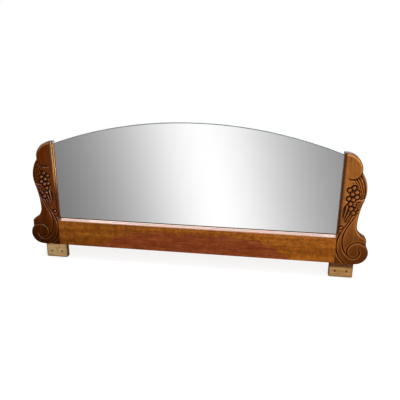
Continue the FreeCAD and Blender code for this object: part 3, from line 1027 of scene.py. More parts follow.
@dataclass(frozen=True)
class Carving:
    """Lines, leaves and grapes cut into a cheek's face."""

    outline: CheekOutline
    step: float = 1.0 * MM
    groove_width: float = 9.5 * MM
    groove_depth: float = 5.0 * MM
    ground_depth: float = 8.5 * MM
    ground_span: Span = (0.5 * MM, 4.5 * MM)
    edge_round: float = 6.0 * MM
    foot_round: float = 2.5 * MM
    foot_span: Span = (45 * MM, 85 * MM)
    arris: float = 9.0 * MM
    arris_runout: float = 18 * MM
    lobe_step_radius: float = 36.5 * MM
    lobe_step_reach: float = 72 * MM
    lobe_step_turn: Span = (238.0, 352.0)
    lobe_step_wider: float = 1.3
    lobe_step_deeper: float = 1.25
    lobe_step_fade: float = 0.3
    leaf_edge_radius: float = 110 * MM
    leaf_edge_centre: Place = (-40 * MM, -30 * MM)
    leaf_ribs: int = 3
    leaf_rib_depth: float = 5.2 * MM
    leaf_rib_power: float = 0.9
    leaf_fluted: Span = (0.72, 0.9)
    leaf_sink: float = 0.8 * MM
    leaf_tuck: float = 3.2 * MM
    leaf_tuck_reach: float = 16 * MM
    leaf_tip: Place = (76 * MM, -16 * MM)
    leaf_tip_radius: float = 16 * MM
    leaf_tip_below: float = 20 * MM
    lower_leaf_radius: float = 63.5 * MM
    lower_leaf_centre: Place = (74 * MM, -89 * MM)
    lower_leaf_turn: Span = (52.0, 96.0)
    lower_leaf_last: float = 1.25
    lower_leaf_length: float = 100 * MM
    lower_leaf_ribs: int = 4
    lower_leaf_rib_depth: float = 5.2 * MM
    lower_leaf_rib_power: float = 1.2
    lower_leaf_rib_span: Span = (8 * MM, 30 * MM)
    lower_leaf_sink: float = 3.0 * MM
    bud_reach: float = 13 * MM
    bud_rise: float = 103.5 * MM
    bud_radius: float = 8 * MM
    curl_centre: Place = (70 * MM, -53 * MM)
    curl_radius: float = 10 * MM
    curl_turn: Span = (40.0, 250.0)
    curl_fade: float = 0.2
    tip_cut_first: Place = (62 * MM, -36 * MM)
    tip_cut_last: Place = (92 * MM, -25 * MM)
    tip_cut_deeper: float = 1.3
    tip_cut_fade: float = 0.5
    grape_radius: float = 9.8 * MM
    grapes: tuple[Place, ...] = (
        (47 * MM, 13 * MM),
        (31 * MM, 3 * MM),
        (59 * MM, -4 * MM),
        (43 * MM, -13 * MM),
        (31 * MM, -31 * MM),
        (61 * MM, -24 * MM),
        (48 * MM, -35 * MM),
        (39 * MM, -52 * MM),
        (43 * MM, -72 * MM),
        (53 * MM, -88 * MM),
    )
    volute: Stroke = Stroke(
        (0.0, 0.0), 139.0, ((0.0, 6 * MM), (40 * MM, 129.0), (29.7 * MM, 46.0), (23.4 * MM, 173.0))
    )
    volute_fade: float = 0.08
    stem_inner: Stroke = Stroke(
        (-31.6 * MM, -10.5 * MM), 137.3, ((62.9 * MM, -26.3), (108.3 * MM, -48.0), (0.0, 73 * MM))
    )
    stem_outer: Stroke = Stroke(
        (-32.9 * MM, -49.5 * MM), 147.5, ((93.8 * MM, -55.3), (109.0 * MM, -30.3), (0.0, 122 * MM))
    )
    stem_outer_fade: float = 0.1

    @property
    def lobe_step_centre(self) -> Place:
        """Middle of the round step under the lobe."""
        return (self.lobe_step_reach - self.lobe_step_radius, self.outline.lobe_centre[1])

    @property
    def bud(self) -> Place:
        """Middle of the bud at the lower leaf's foot."""
        return (self.bud_reach, self.outline.scroll_centre[1] + self.bud_rise)

    @property
    def curl(self) -> Place:
        """Middle of the curl that ends the stem."""
        return self.by_leaf(self.curl_centre)

    def by_leaf(self, offset: Place) -> Place:
        """Place at an offset from the inner face at the height of the upper leaf's widest place."""
        return (offset[0], self.outline.leaf_centre[1] + offset[1])

    def balls(self) -> list[tuple[Place, float]]:
        """Place and radius of each grape and of the bud."""
        found = [(self.by_leaf(grape), self.grape_radius) for grape in self.grapes]
        return found + [(self.bud, self.bud_radius)]

    def cuts(self) -> list[Cut]:
        """Draws the lines of the carving.

        Returns:
            The scroll's line, both lines of the stem, the lobe's step, the curl and the leaf tip's cut.
        """
        wide, deep = self.groove_width, self.groove_depth
        volute = self.volute.points(self.outline.notch, self.step)
        inner = self.stem_inner.points(self.outline.scroll_centre, self.step)
        outer = self.stem_outer.points(self.outline.scroll_centre, self.step)
        lobe_bend = Bend(self.lobe_step_centre, self.lobe_step_radius, *self.lobe_step_turn)
        lobe_step = lobe_bend.points(self.step)
        curl = Bend(self.curl, self.curl_radius, *self.curl_turn).points(self.step)
        tip_cut = Run(self.by_leaf(self.tip_cut_first), self.by_leaf(self.tip_cut_last)).points(self.step)
        step_wide, step_deep = wide * self.lobe_step_wider, deep * self.lobe_step_deeper
        return [
            Cut(volute, wide, deep, fade_last=self.volute_fade),
            Cut(inner, wide, deep),
            Cut(outer, wide, deep, fade_last=self.stem_outer_fade),
            Cut(lobe_step, step_wide, step_deep, fade_first=self.lobe_step_fade),
            Cut(curl, wide, deep, self.curl_fade, self.curl_fade),
            Cut(tip_cut, wide, deep * self.tip_cut_deeper, self.tip_cut_fade),
        ]

    def upper_leaf(self, points: Array) -> tuple[Array, Array]:
        """Shapes the fluted leaf under the lobe.

        Args:
            points: Places on the face.

        Returns:
            Depth of the leaf, and how much it shows at each place.
        """
        edge = np.hypot(*(points - self.by_leaf(self.leaf_edge_centre)).T) - self.leaf_edge_radius
        back = self.outline.leaf_radius - np.hypot(*(points - self.outline.leaf_centre).T)
        across = np.clip(edge / np.maximum(edge + back, 1e-6), 0, 1)
        below_lobe = np.hypot(*(points - self.lobe_step_centre).T) - self.lobe_step_radius
        tip = self.by_leaf(self.leaf_tip)
        tip_gap = points - tip
        within_tip = (tip_gap[:, 1] >= 0) | (np.hypot(*tip_gap.T) < self.leaf_tip_radius)
        fluted, plain = self.leaf_fluted
        flutes = waves(np.clip(across / fluted, 0, 1), self.leaf_ribs)
        outside = 1 - smooth(across, fluted, plain)
        valleys = np.where(across < fluted, 1 - flutes**self.leaf_rib_power, outside)
        depth = self.leaf_rib_depth * valleys + self.leaf_sink
        depth += self.leaf_tuck * (1 - smooth(below_lobe, 0, self.leaf_tuck_reach))
        under = points[:, 1] < self.outline.lobe_centre[1]
        above = points[:, 1] > tip[1] - self.leaf_tip_below
        shows = (edge > 0) & (below_lobe > 0) & within_tip & under & above
        return depth, shows.astype(float)

    def lower_leaf(self, points: Array) -> tuple[Array, Array]:
        """Shapes the leaf that fans out from the bud beside the stem.

        Args:
            points: Places on the face.

        Returns:
            Depth of the leaf, and how much it shows at each place.
        """
        offset = points - np.array(self.bud)
        away = np.hypot(*offset.T)
        angle = np.degrees(np.arctan2(offset[:, 1], offset[:, 0]))
        rim = self.lower_leaf_radius - np.hypot(*(points - self.by_leaf(self.lower_leaf_centre)).T)
        first, last = self.lower_leaf_turn
        across = (angle - first) / (last - first)
        valleys = 1 - waves(across, self.lower_leaf_ribs) ** self.lower_leaf_rib_power
        depth = self.lower_leaf_rib_depth * valleys * smooth(away, *self.lower_leaf_rib_span)
        depth += self.lower_leaf_sink
        within = (across > 0) & (across < self.lower_leaf_last)
        shows = within & (rim > 0) & (away > self.bud_radius) & (away < self.lower_leaf_length)
        return depth, shows.astype(float)

    def depth(self, points: Array) -> Array:
        """Depth of the carved face behind the front plane, without the rounded edges.

        Args:
            points: Places on the face.

        Returns:
            Depth at each place.
        """
        depth = np.zeros(len(points))
        for form in (self.upper_leaf, self.lower_leaf):
            sunk, shows = form(points)
            depth = depth * (1 - shows) + sunk * shows
        for place, radius in self.balls():
            gap = np.hypot(*(points - place).T) - radius
            depth = np.maximum(depth, self.ground_depth * (1 - smooth(gap, *self.ground_span)))
        for cut in self.cuts():
            depth = np.maximum(depth, cut.sink(points))
        return depth


@dataclass(frozen=True)
class EdgeWearAndPaintedLight:
    """How strongly painted shade, painted light and painted highlights, with rubbed wood, show on a cheek,
    each from 0 to 1.
    """

    arris_painted_shade: float
    arris_painted_highlight: float
    rim_painted_highlight: float
    wall_painted_shade: float
    wall_painted_light: float
    grape_rub_and_light: float
    crest: float
    lobe_light: float
    ridge_rub_and_highlight: float
    rim_painted_shade: float = 0.85
    outer_painted_shade: float = 0.3
    curl_shade: float = 0.5


@dataclass(frozen=True)
class WearAndLightPlaces:
    """Where a cheek's painted shade, painted highlights and rubbed wood lie: spans of depth, height,
    distance from an edge, or turn of the arris.
    """

    rim_depth: Span = (0.6 * MM, 4.5 * MM)
    arris_turn: Span = (0.5, 1.5)
    arris_rise: float = 30 * MM
    shine_level: Span = (215 * MM, 330 * MM)
    shine_rise: Span = (0.04, 0.14)
    shine_fall: Span = (0.22, 0.36)
    line_rise: Span = (4 * MM, 6 * MM)
    line_fall: Span = (7 * MM, 9.5 * MM)
    line_level: Span = (88 * MM, 108 * MM)
    leaf_rise: Span = (205 * MM, 225 * MM)
    leaf_fall: Span = (355 * MM, 375 * MM)
    crest_rise: Span = (3 * MM, 5 * MM)
    crest_fall: Span = (8 * MM, 12 * MM)
    crest_level: Span = (400 * MM, 425 * MM)
    lobe: Place = (38 * MM, 388 * MM)
    lobe_spread: Span = (5 * MM, 45 * MM)
    curl_spread: Span = (6 * MM, 24 * MM)
    outer_level: Span = (340 * MM, 380 * MM)


@dataclass(frozen=True)
class CarvedCheek:
    """Carved side post with its stepped rebate for glass and panel."""

    side: Side
    sizes: FrameSizes
    finish: StainedWood
    # Shares and places of painted shade, painted light, painted highlights and rubbed wood.
    wear: EdgeWearAndPaintedLight
    worn: WearAndLightPlaces = WearAndLightPlaces()
    step: float = 1.2 * MM
    columns: int = 104
    column_span: Span = (0.085, 0.89)
    inner_columns: tuple[float, ...] = (0.0, 0.0015, 0.006, 0.0135, 0.024, 0.0375, 0.054, 0.072)
    outer_columns: tuple[float, ...] = (0.1, 0.082, 0.064, 0.048, 0.034, 0.022, 0.0125, 0.006, 0.0018, 0.0)
    rim_reach: float = 40 * MM
    rebate_headroom: float = 7 * MM
    rebate_slack: float = 0.2 * MM
    rebate_glass_most: float = 0.4
    rebate_panel_most: float = 0.8
    back_ease: float = 1.5 * MM
    back_ease_most: float = 1 / 3
    back_turn: float = 0.3
    wall_line: float = 3 * MM
    wall_rows: Span = (0.9, 1.4)
    outer_slack: float = 0.1 * MM
    crease: float = 50.0

    @property
    def carving(self) -> Carving:
        """The carving of this cheek."""
        return Carving(CheekOutline(self.sizes.cheek_width, self.sizes.cheek_height))

    def levels(self, edge: Array) -> list[tuple[float, int]]:
        """Heights of the rows, with the number of rebate steps at each.

        Args:
            edge: Places along the outline.

        Returns:
            Height and number of steps of each row, from bottom to top. A height at which the rebate
            changes comes twice.
        """
        panel_floor = self.sizes.rail_height - PANEL_REBATE
        glass_floor = self.sizes.rail_height - GLASS_REBATE
        top = self.sizes.cheek_height - self.rebate_headroom
        rows = [(panel_floor, 0), (panel_floor, 1), (glass_floor, 1), (glass_floor, 2)]
        for height in np.unique(np.round(edge[:, 1], 7)):
            if all(abs(height - level) > self.rebate_slack for level in (panel_floor, glass_floor, top)):
                steps = int(height > panel_floor) + int(height > glass_floor)
                rows.append((float(height), steps if height < top else 0))
        below = sorted(row for row in rows if row[0] < top)
        above = sorted(row for row in rows if row[0] > top)
        return [*below, (top, 2), (top, 0), *above]

    def shares(self) -> Array:
        """Shares of the width at which the columns lie, closer together at both edges."""
        middle = np.linspace(*self.column_span, self.columns)
        return np.concatenate([self.inner_columns, middle, 1 - np.array(self.outer_columns)])

    def face(self, heights: Array, reach: Array, edge: Array) -> tuple[Array, ...]:
        """Works out the carved front.

        Args:
            heights: Height of each row.
            reach: Width of the cheek at each row.
            edge: Places along the outline.

        Returns:
            Reach of each place, its depth, the depth of the carving alone, and the distance from the
            outer edge.
        """
        carving = self.carving
        across = reach[:, None] * self.shares()[None, :]
        level = np.repeat(heights[:, None], across.shape[1], 1)
        points = np.stack([across.ravel(), level.ravel()], 1)
        carved = carving.depth(points)
        gap = np.full(len(points), np.inf)
        near = (reach[:, None] - across).ravel() < self.rim_reach
        gap[near] = nearest(points[near], edge)[0]
        upward = smooth(points[:, 1], *carving.foot_span)
        rounded = quarter_round(gap, carving.foot_round + (carving.edge_round - carving.foot_round) * upward)
        rail = self.sizes.rail_height
        runout = smooth(points[:, 1], rail, rail + carving.arris_runout)
        inner = quarter_round(points[:, 0], carving.arris) * runout
        depth = np.maximum(carved, np.maximum(rounded, inner))
        return tuple(values.reshape(across.shape) for values in (across, depth, carved, gap))

    def tones(self, heights: Array, face: tuple[Array, ...]) -> tuple[Array, ...]:
        """Works out where the front is darkened by staining and painted shade and lightened by rubbed wood
        and painted light.

        Args:
            heights: Height of each row.
            face: Reach, depth, depth of the carving and distance from the outer edge of each place.

        Returns:
            Share of staining and painted shade, of rubbed wood and painted light, and of painted highlight
            at each place.
        """
        across, depth, carved, gap = face
        wear, worn, carving = self.wear, self.worn, self.carving
        level = np.repeat(heights[:, None], across.shape[1], 1)
        # Carving's hollows: staining and painted shade; its ridges: rubbed wood and painted highlight.
        marks = hollows(carved)
        turn = across / carving.arris
        past_arris = smooth(turn, *worn.arris_turn)
        rail = self.sizes.rail_height
        # Painted shade along the inner arris.
        inner = (1 - past_arris) * wear.arris_painted_shade * smooth(level, rail, rail + worn.arris_rise)
        # Painted highlight along the inner arris.
        shine = swell(turn, worn.shine_rise, worn.shine_fall) * self.shine(level)
        # Painted highlight: a light line inside the rounded outer edge, kept off the leaf's back.
        leaf = swell(level, worn.leaf_rise, worn.leaf_fall)
        line = swell(gap, worn.line_rise, worn.line_fall) * wear.rim_painted_highlight
        line *= (1 - leaf) * smooth(level, *worn.line_level)
        # Painted highlight on the lobe's rounded top.
        crest = swell(gap, worn.crest_rise, worn.crest_fall) * wear.crest
        crest *= smooth(level, *worn.crest_level) * past_arris
        # Painted shade on the rounded edges.
        painted_rim_shade = smooth(depth - carved, *worn.rim_depth) * wear.rim_painted_shade * (1 - crest)
        # Lighter towards the lobe's middle.
        lobe_gap = np.hypot(across - worn.lobe[0], level - worn.lobe[1])
        lobe = (1 - smooth(lobe_gap, *worn.lobe_spread)) * wear.lobe_light
        # Darker round the curl.
        curl_gap = np.hypot(across - carving.curl[0], level - carving.curl[1])
        curl = (1 - smooth(curl_gap, *worn.curl_spread)) * wear.curl_shade
        dark = np.maximum.reduce([np.zeros_like(marks), marks, painted_rim_shade, inner, curl])
        light = np.maximum.reduce([np.zeros_like(marks), -marks * wear.ridge_rub_and_highlight, line, lobe])
        return dark, light, np.maximum(shine, crest)

    def shine(self, level: Array | float) -> Array:
        """Share of painted highlight on the inner edge at a height."""
        return smooth(np.asarray(level), *self.worn.shine_level) * self.wear.arris_painted_highlight

    def side_tone(self, place: Place, reach: float, height: float) -> Spot:
        """Works out the painted shade and painted light at a place behind the front.

        Args:
            place: Reach and Y of the place.
            reach: Width of the cheek at this height.
            height: Height of the place.

        Returns:
            Share of painted shade, of painted light and of painted highlight.
        """
        wear = self.wear
        # Inner wall: painted shade and painted light, with a painted highlight beside the glass.
        if place[0] == 0:
            lit = place[1] > self.sizes.glass_front - self.wall_line
            return (wear.wall_painted_shade, wear.wall_painted_light, float(self.shine(height)) if lit else 0.0)
        # Outer side: painted shade, deeper up on the lobe.
        if place[0] > reach - self.outer_slack:
            upward = float(smooth(height, *self.worn.outer_level))
            return (wear.outer_painted_shade + (wear.rim_painted_shade - wear.outer_painted_shade) * upward, 0.0, 0.0)
        return (0.0, 0.0, 0.0)

    def build(self) -> bpy.types.Object:
        """Makes the cheek and dresses it.

        Returns:
            The finished piece.
        """
        edge = self.carving.outline.points(self.step)
        rows = self.levels(edge)
        heights = np.array([height for height, _ in rows])
        order = np.argsort(edge[:, 1], kind="stable")
        reach = np.interp(heights, edge[order, 1], edge[order, 0])
        face = self.face(heights, reach, edge)
        across, depth = face[:2]
        front_tones = np.stack(self.tones(heights, face), 2)
        work = bmesh.new()
        # Marks per point: staining and painted shade, rubbed wood and painted light, and painted highlight.
        layers = [work.verts.layers.float.new(name) for name in ("hollow", "ridge", "painted_gleam")]
        loops = []
        for n, (height, steps) in enumerate(rows):
            ring = self.ring(reach[n], across[n], depth[n], steps)
            behind = ring[across.shape[1] :]
            tones = [*front_tones[n], *(self.side_tone(place, reach[n], height) for place in behind)]
            loops.append([])
            for (u, y), shares in zip(ring, tones):
                vert = work.verts.new((self.side.value * (self.sizes.inner_x + u), y, height))
                for layer, share in zip(layers, shares):
                    vert[layer] = share
                loops[-1].append(vert)
        walls(work, loops)
        work.faces.new(loops[0][::-1])
        work.faces.new(loops[-1])
        name = f"{self.side.label}_carved_cheek"
        finish = self.finish.build()
        mesh = close_mesh(name, work, self.crease)
        grapes = GrapeBunch(self.sizes, self.carving, self.side, self.wear.grape_rub_and_light).build(finish)
        piece = new_piece(name, joined(mesh, grapes), finish)
        return dress(piece, "stained_wood", f"{self.side.label}_cheek")

    def ring(self, reach: float, across: Array, depth: Array, steps: int) -> list[Place]:
        """Outline of the cheek's section at one height, from the inner arris round the back.

        Args:
            reach: Width of the cheek at this height.
            across: Reach of each place on the front.
            depth: Depth of each place on the front.
            steps: Number of rebate steps at this height.

        Returns:
            Reach and Y of each place.
        """
        sizes = self.sizes
        front = [(float(u), sizes.front + float(d)) for u, d in zip(across, depth)]
        ease = min(self.back_ease, reach * self.back_ease_most)
        panel_wall = min(PANEL_REBATE, reach * self.rebate_panel_most)
        glass_wall = min(GLASS_REBATE, reach * self.rebate_glass_most)
        panel_y = sizes.glass_back if steps >= 1 else sizes.back
        glass_y = sizes.glass_front if steps >= 2 else panel_y
        return front + [
            (reach, (sizes.front + sizes.back) / 2),
            (reach, sizes.back - ease),
            (reach - ease * self.back_turn, sizes.back - ease * self.back_turn),
            (reach - ease, sizes.back),
            (panel_wall, sizes.back),
            (panel_wall, panel_y),
            (glass_wall, panel_y),
            (glass_wall, glass_y),
            (0.0, glass_y),
            *((0.0, sizes.glass_front - self.wall_line * share) for share in self.wall_rows),
        ]


def joined(mesh: bpy.types.Mesh, other: bpy.types.Mesh) -> bpy.types.Mesh:
    """Adds a mesh to another one.

    Args:
        mesh: Mesh that takes up the other.
        other: Mesh that is added and then removed.

    Returns:
        The first mesh with both.
    """
    work = bmesh.new()
    work.from_mesh(mesh)
    work.from_mesh(other)
    work.to_mesh(mesh)
    work.free()
    bpy.data.meshes.remove(other)
    return mesh


def swell(value: Array, rise: Span, fall: Span) -> Array:
    """Rises smoothly from 0 to 1 over one span and falls again over another."""
    return smooth(value, *rise) * (1 - smooth(value, *fall))


def waves(share: Array, count: int) -> Array:
    """Swings between 0 and 1 a number of times while a share goes from 0 to 1."""
    return 0.5 - 0.5 * np.cos(2 * np.pi * count * share)


def quarter_round(gap: Array, radius: float | Array) -> Array:
    """Depth of a rounded edge at a distance from it."""
    inset = np.clip(radius - gap, 0, radius)
    return radius - np.sqrt(np.maximum(radius**2 - inset**2, 0))


def hollows(
    depth: Array,
    reach: int = 7,
    relief: float = 1.3 * MM,
    sunk_span: Span = (3.5 * MM, 6.5 * MM),
    sunk_most: float = 0.95,
) -> Array:
    """Tells hollows from ridges by comparing each depth with those around it.

    Args:
        depth: Depth of the carving, row by row.
        reach: How many rows and columns around a place count.
        relief: Difference from the depth around that counts in full.
        sunk_span: Depths over which a place becomes a hollow, whatever lies around it.
        sunk_most: How much of a hollow the deepest place is.

    Returns:
        From -1 on a ridge to 1 in a hollow.
    """
    window = np.hanning(2 * reach + 3)[1:-1]
    window /= window.sum()
    around = depth
    for axis in (0, 1):
        pad = [(reach, reach) if axis == a else (0, 0) for a in (0, 1)]
        padded = np.pad(around, pad, mode="edge")
        around = np.apply_along_axis(lambda line: np.convolve(line, window, mode="valid"), axis, padded)
    marks = np.clip((depth - around) / relief, -1, 1)
    sunk = smooth(depth, *sunk_span) * sunk_most
    return np.where(sunk > 0, np.maximum(marks, sunk), marks)


# Repeated pieces


class GrowthTree(Graph):
    """Geometry nodes that set a shape on every point of a mesh."""

    def __init__(self, name: str, sizes: dict[str, float]) -> None:
        """Makes the tree's sockets.

        Args:
            name: Name of the tree.
            sizes: Named sizes with their values.
        """
        super().__init__(bpy.data.node_groups.new(name, "GeometryNodeTree"))
        face = self.tree.interface
        face.new_socket("Points", in_out="INPUT", socket_type="NodeSocketGeometry")
        for size, value in sizes.items():
            face.new_socket(size, in_out="INPUT", socket_type="NodeSocketFloat").default_value = value
        face.new_socket("Finish", in_out="INPUT", socket_type="NodeSocketMaterial")
        face.new_socket("Pieces", in_out="OUTPUT", socket_type="NodeSocketGeometry")
        self.entry = self.add("NodeGroupInput").outputs

    def close(self, instances: Socket) -> None:
        """Realizes the instances, gives them their finish and ends the tree.

        Args:
            instances: Socket of the instances.
        """
        real = self.add("GeometryNodeRealizeInstances", {"Geometry": instances}).outputs[0]
        inputs = {"Geometry": real, "Material": self.entry["Finish"]}
        done = self.add("GeometryNodeSetMaterial", inputs).outputs[0]
        self.add("NodeGroupOutput", {"Pieces": done})

    def grow(self, points: bpy.types.Mesh, values: dict[str, Any]) -> bpy.types.Mesh:
        """Runs the tree.

        Args:
            points: Mesh of loose points.
            values: Value of each named input.

        Returns:
            The shapes as one plain mesh.
        """
        carrier = bpy.data.objects.new(points.name, points)
        bpy.context.scene.collection.objects.link(carrier)
        growth = carrier.modifiers.new(self.tree.name, "NODES")
        growth.node_group = self.tree
        for item in self.tree.interface.items_tree:
            if item.in_out == "INPUT" and item.name in values:
                growth[item.identifier] = values[item.name]
        drawn = carrier.evaluated_get(bpy.context.evaluated_depsgraph_get())
        mesh = bpy.data.meshes.new_from_object(drawn)
        carrier.modifiers.remove(growth)
        bpy.data.objects.remove(carrier)
        return mesh


def loose_points(name: str, places: Sequence[Spot]) -> bpy.types.Mesh:
    """Makes a mesh of points without faces.

    Args:
        name: Name of the mesh.
        places: Places of the points.

    Returns:
        The new mesh.
    """
    mesh = bpy.data.meshes.new(name)
    mesh.from_pydata(places, [], [])
    return mesh


@dataclass(frozen=True)
class GrapeBunch:
    """Round grapes and the bud that stand out of a cheek's sunk ground."""

    sizes: FrameSizes
    carving: Carving
    side: Side
    # Share of rubbed wood and painted light on the lit part of the balls.
    rubbed: float
    segments: int = 40
    rings: int = 22
    unevenness: float = 0.05
    clearance: float = 0.3 * MM
    base_painted_shade_span: Span = (1.8 * MM, 5.6 * MM)
    dusk: float = 0.8
    dusk_way: Spot = (-0.5, 0.0, 0.87)
    dusk_span: Span = (-0.1, 0.75)
    seed: int = 4

    def tree(self) -> GrowthTree:
        """Builds the nodes that put a ball on every point.

        Returns:
            The tree, which takes each ball's radius from its point.
        """
        tree = GrowthTree("grape_bunch", {"Unevenness": self.unevenness})
        inputs = {"Segments": self.segments, "Rings": self.rings, "Radius": 1.0}
        ball = tree.add("GeometryNodeMeshUVSphere", inputs).outputs["Mesh"]
        ball = tree.add("GeometryNodeSetShadeSmooth", {"Geometry": ball}).outputs[0]
        radius = tree.add("GeometryNodeInputNamedAttribute", {"Name": "radius"}).outputs["Attribute"]
        least = tree.math("SUBTRACT", 1.0, tree.entry["Unevenness"])
        chance = tree.add("FunctionNodeRandomValue", {2: least, 3: 1.0, 8: self.seed}).outputs[1]
        scale = tree.math("MULTIPLY", radius, chance)
        inputs = {"Points": tree.entry["Points"], "Instance": ball, "Scale": scale}
        tree.close(tree.add("GeometryNodeInstanceOnPoints", inputs).outputs[0])
        return tree

    def build(self, finish: Material) -> bpy.types.Mesh:
        """Makes the balls.

        Args:
            finish: Finish of the cheek.

        Returns:
            The balls as one mesh, marked with painted shade, and with rubbed wood and painted light.
        """
        balls = self.carving.balls()
        radii = np.array([radius for _, radius in balls])
        centres = [
            (self.side.value * (self.sizes.inner_x + u), self.sizes.front + radius + self.clearance, z)
            for (u, z), radius in balls
        ]
        points = loose_points(f"{self.side.label}_grape_points", centres)
        points.attributes.new("radius", "FLOAT", "POINT").data.foreach_set("value", radii)
        mesh = self.tree().grow(points, {"Unevenness": self.unevenness, "Finish": finish})
        places = np.empty(3 * len(mesh.vertices))
        mesh.vertices.foreach_get("co", places)
        places = places.reshape(-1, 3)
        # Painted shade on each ball's deeper part towards the ground and on its side turned from the light;
        # rubbed wood and painted light on the rest.
        away = places[:, None, :] - np.array(centres)[None, :, :]
        ball = np.argmin(np.linalg.norm(away, axis=2), axis=1)
        turned = away[np.arange(len(places)), ball] @ np.array(self.dusk_way) / radii[ball]
        low = smooth(places[:, 1] - self.sizes.front, *self.base_painted_shade_span)
        shade = np.maximum(low, smooth(turned, *self.dusk_span) * self.dusk)
        marks = {"hollow": shade, "ridge": (1 - shade) * self.rubbed, "painted_gleam": np.zeros(len(shade))}
        for name, values in marks.items():
            mesh.attributes.new(name, "FLOAT", "POINT").data.foreach_set("value", values)
        return mesh


class ScrewSize(Enum):
    """Length of a kind of screw, with the diameters of its shank and head."""

    LONG = (45 * MM, 4.5 * MM, 9 * MM)
    SHORT = (20 * MM, 3.5 * MM, 7 * MM)


@dataclass(frozen=True)
class ScrewSet:
    """Slotted countersunk wood screws with their heads towards the back."""

    node: str
    places: Sequence[Place]
    size: ScrewSize
    sunk: float = 0.3 * MM
    slot_width: float = 1.1 * MM
    slot_depth: float = 1.2 * MM
    slot_reach: float = 1.2
    tip_share: float = 0.3
    sides: int = 24
    crease: float = 35.0
    seed: int = 11

    @property
    def measures(self) -> dict[str, float]:
        """Sizes of one screw by their names in the tree."""
        length, shank, head = self.size.value
        return {"Length": length - self.sunk, "Shank": shank, "Head": head, "Slot": self.slot_width}

    def cone(self, tree: GrowthTree, top: Socket, bottom: Socket, depth: Socket, drop: Socket) -> Socket:
        """Adds a cone below the screw's point.

        Args:
            tree: Tree of the screws.
            top: Radius of its upper end.
            bottom: Radius of its lower end.
            depth: Length of the cone.
            drop: How far its lower end lies below the point.

        Returns:
            The cone's socket.
        """
        inputs = {"Vertices": self.sides, "Radius Top": top, "Radius Bottom": bottom, "Depth": depth}
        cone = tree.add("GeometryNodeMeshCone", inputs).outputs["Mesh"]
        down = tree.add("ShaderNodeCombineXYZ", {"Z": tree.math("MULTIPLY", drop, -1.0)}).outputs[0]
        return tree.add("GeometryNodeTransform", {"Geometry": cone, "Translation": down}).outputs[0]

    def tree(self) -> GrowthTree:
        """Builds the nodes that set a slotted screw on every point.

        Returns:
            The tree, which turns each slot at random.
        """
        tree = GrowthTree("wood_screws", self.measures)
        half_head = tree.math("MULTIPLY", tree.entry["Head"], 0.5)
        half_shank = tree.math("MULTIPLY", tree.entry["Shank"], 0.5)
        depth = tree.math("SUBTRACT", half_head, half_shank)
        head = self.cone(tree, half_head, half_shank, depth, depth)
        reach = tree.math("MULTIPLY", tree.entry["Head"], self.slot_reach)
        inputs = {"X": reach, "Y": tree.entry["Slot"], "Z": 2 * self.slot_depth}
        size = tree.add("ShaderNodeCombineXYZ", inputs).outputs[0]
        slot = tree.add("GeometryNodeMeshCube", {"Size": size}).outputs["Mesh"]
        inputs = {"Mesh 1": head, "Mesh 2": slot}
        head = tree.add("GeometryNodeMeshBoolean", inputs, operation="DIFFERENCE").outputs["Mesh"]
        length = tree.entry["Length"]
        tip = tree.math("MULTIPLY", half_shank, self.tip_share)
        stem = self.cone(tree, half_shank, tip, tree.math("SUBTRACT", length, depth), length)
        screw = tree.add("GeometryNodeJoinGeometry")
        for part in (stem, head):
            tree.tree.links.new(part, screw.inputs[0])
        quarter = -math.pi / 2
        inputs = {0: (quarter, 0.0, 0.0), 1: (quarter, math.pi, 0.0), 8: self.seed}
        turn = tree.add("FunctionNodeRandomValue", inputs, data_type="FLOAT_VECTOR").outputs[0]
        inputs = {"Points": tree.entry["Points"], "Instance": screw.outputs[0], "Rotation": turn}
        tree.close(tree.add("GeometryNodeInstanceOnPoints", inputs).outputs[0])
        return tree

    def build(self, finish: Material) -> bpy.types.Object:
        """Makes the screws and dresses them.

        Args:
            finish: Finish of the screws.

        Returns:
            The finished piece.
        """
        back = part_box(self.node)[1].y - self.sunk
        points = loose_points(f"{self.node}_points", [(x, back, z) for x, z in self.places])
        mesh = self.tree().grow(points, {**self.measures, "Finish": finish})
        mesh.set_sharp_from_angle(angle=math.radians(self.crease))
        piece = new_piece(f"{self.node}_slotted", mesh, finish)
        return dress(piece, "screw_steel", self.node)


# Plain pieces


def rounded(corners: Sequence[tuple[Place, float]], count: int = 5) -> list[Place]:
    """Rounds the corners of a flat outline.

    Args:
        corners: Each corner with its radius.
        count: Number of steps round a corner.

    Returns:
        Places along the outline.
    """
    places = []
    for number, (corner, radius) in enumerate(corners):
        here = Vector(corner)
        if radius == 0:
            places.append(corner)
            continue
        before = (Vector(corners[number - 1][0]) - here).normalized()
        after = (Vector(corners[(number + 1) % len(corners)][0]) - here).normalized()
        half = before.angle(after) / 2
        first = here + before * (radius / math.tan(half))
        last = here + after * (radius / math.tan(half))
        centre = here + (before + after).normalized() * (radius / math.sin(half))
        for step in range(count + 1):
            spoke = (first - centre).normalized().slerp((last - centre).normalized(), step / count)
            places.append(tuple(centre + spoke * radius))
    return places


def inset(outline: Sequence[Place], amount: float) -> list[Place]:
    """Draws an outline inside a convex one.

    Args:
        outline: Places round the outer one, anticlockwise.
        amount: Distance between the two.

    Returns:
        Places round the inner one.
    """
    moved = []
    for number, place in enumerate(outline):
        here = Vector(place)
        before = (here - Vector(outline[number - 1])).normalized()
        after = (Vector(outline[(number + 1) % len(outline)]) - here).normalized()
        first, last = before.orthogonal(), after.orthogonal()
        moved.append(tuple(here + (first + last) * (amount / (1 + first.dot(last)))))
    return moved


def lofted(loops: Sequence[Sequence[Vector]]) -> bmesh.types.BMesh:
    """Joins outlines with equal numbers of corners and closes both ends.

    Args:
        loops: Outlines in order.

    Returns:
        The faces. Those of the first end have material 0, the sides 1 and the last end 2.
    """
    work = bmesh.new()
    rings = [[work.verts.new(place) for place in loop] for loop in loops]
    for face in walls(work, rings):
        face.material_index = 1
    work.faces.new(rings[0])
    work.faces.new(rings[-1]).material_index = 2
    return work


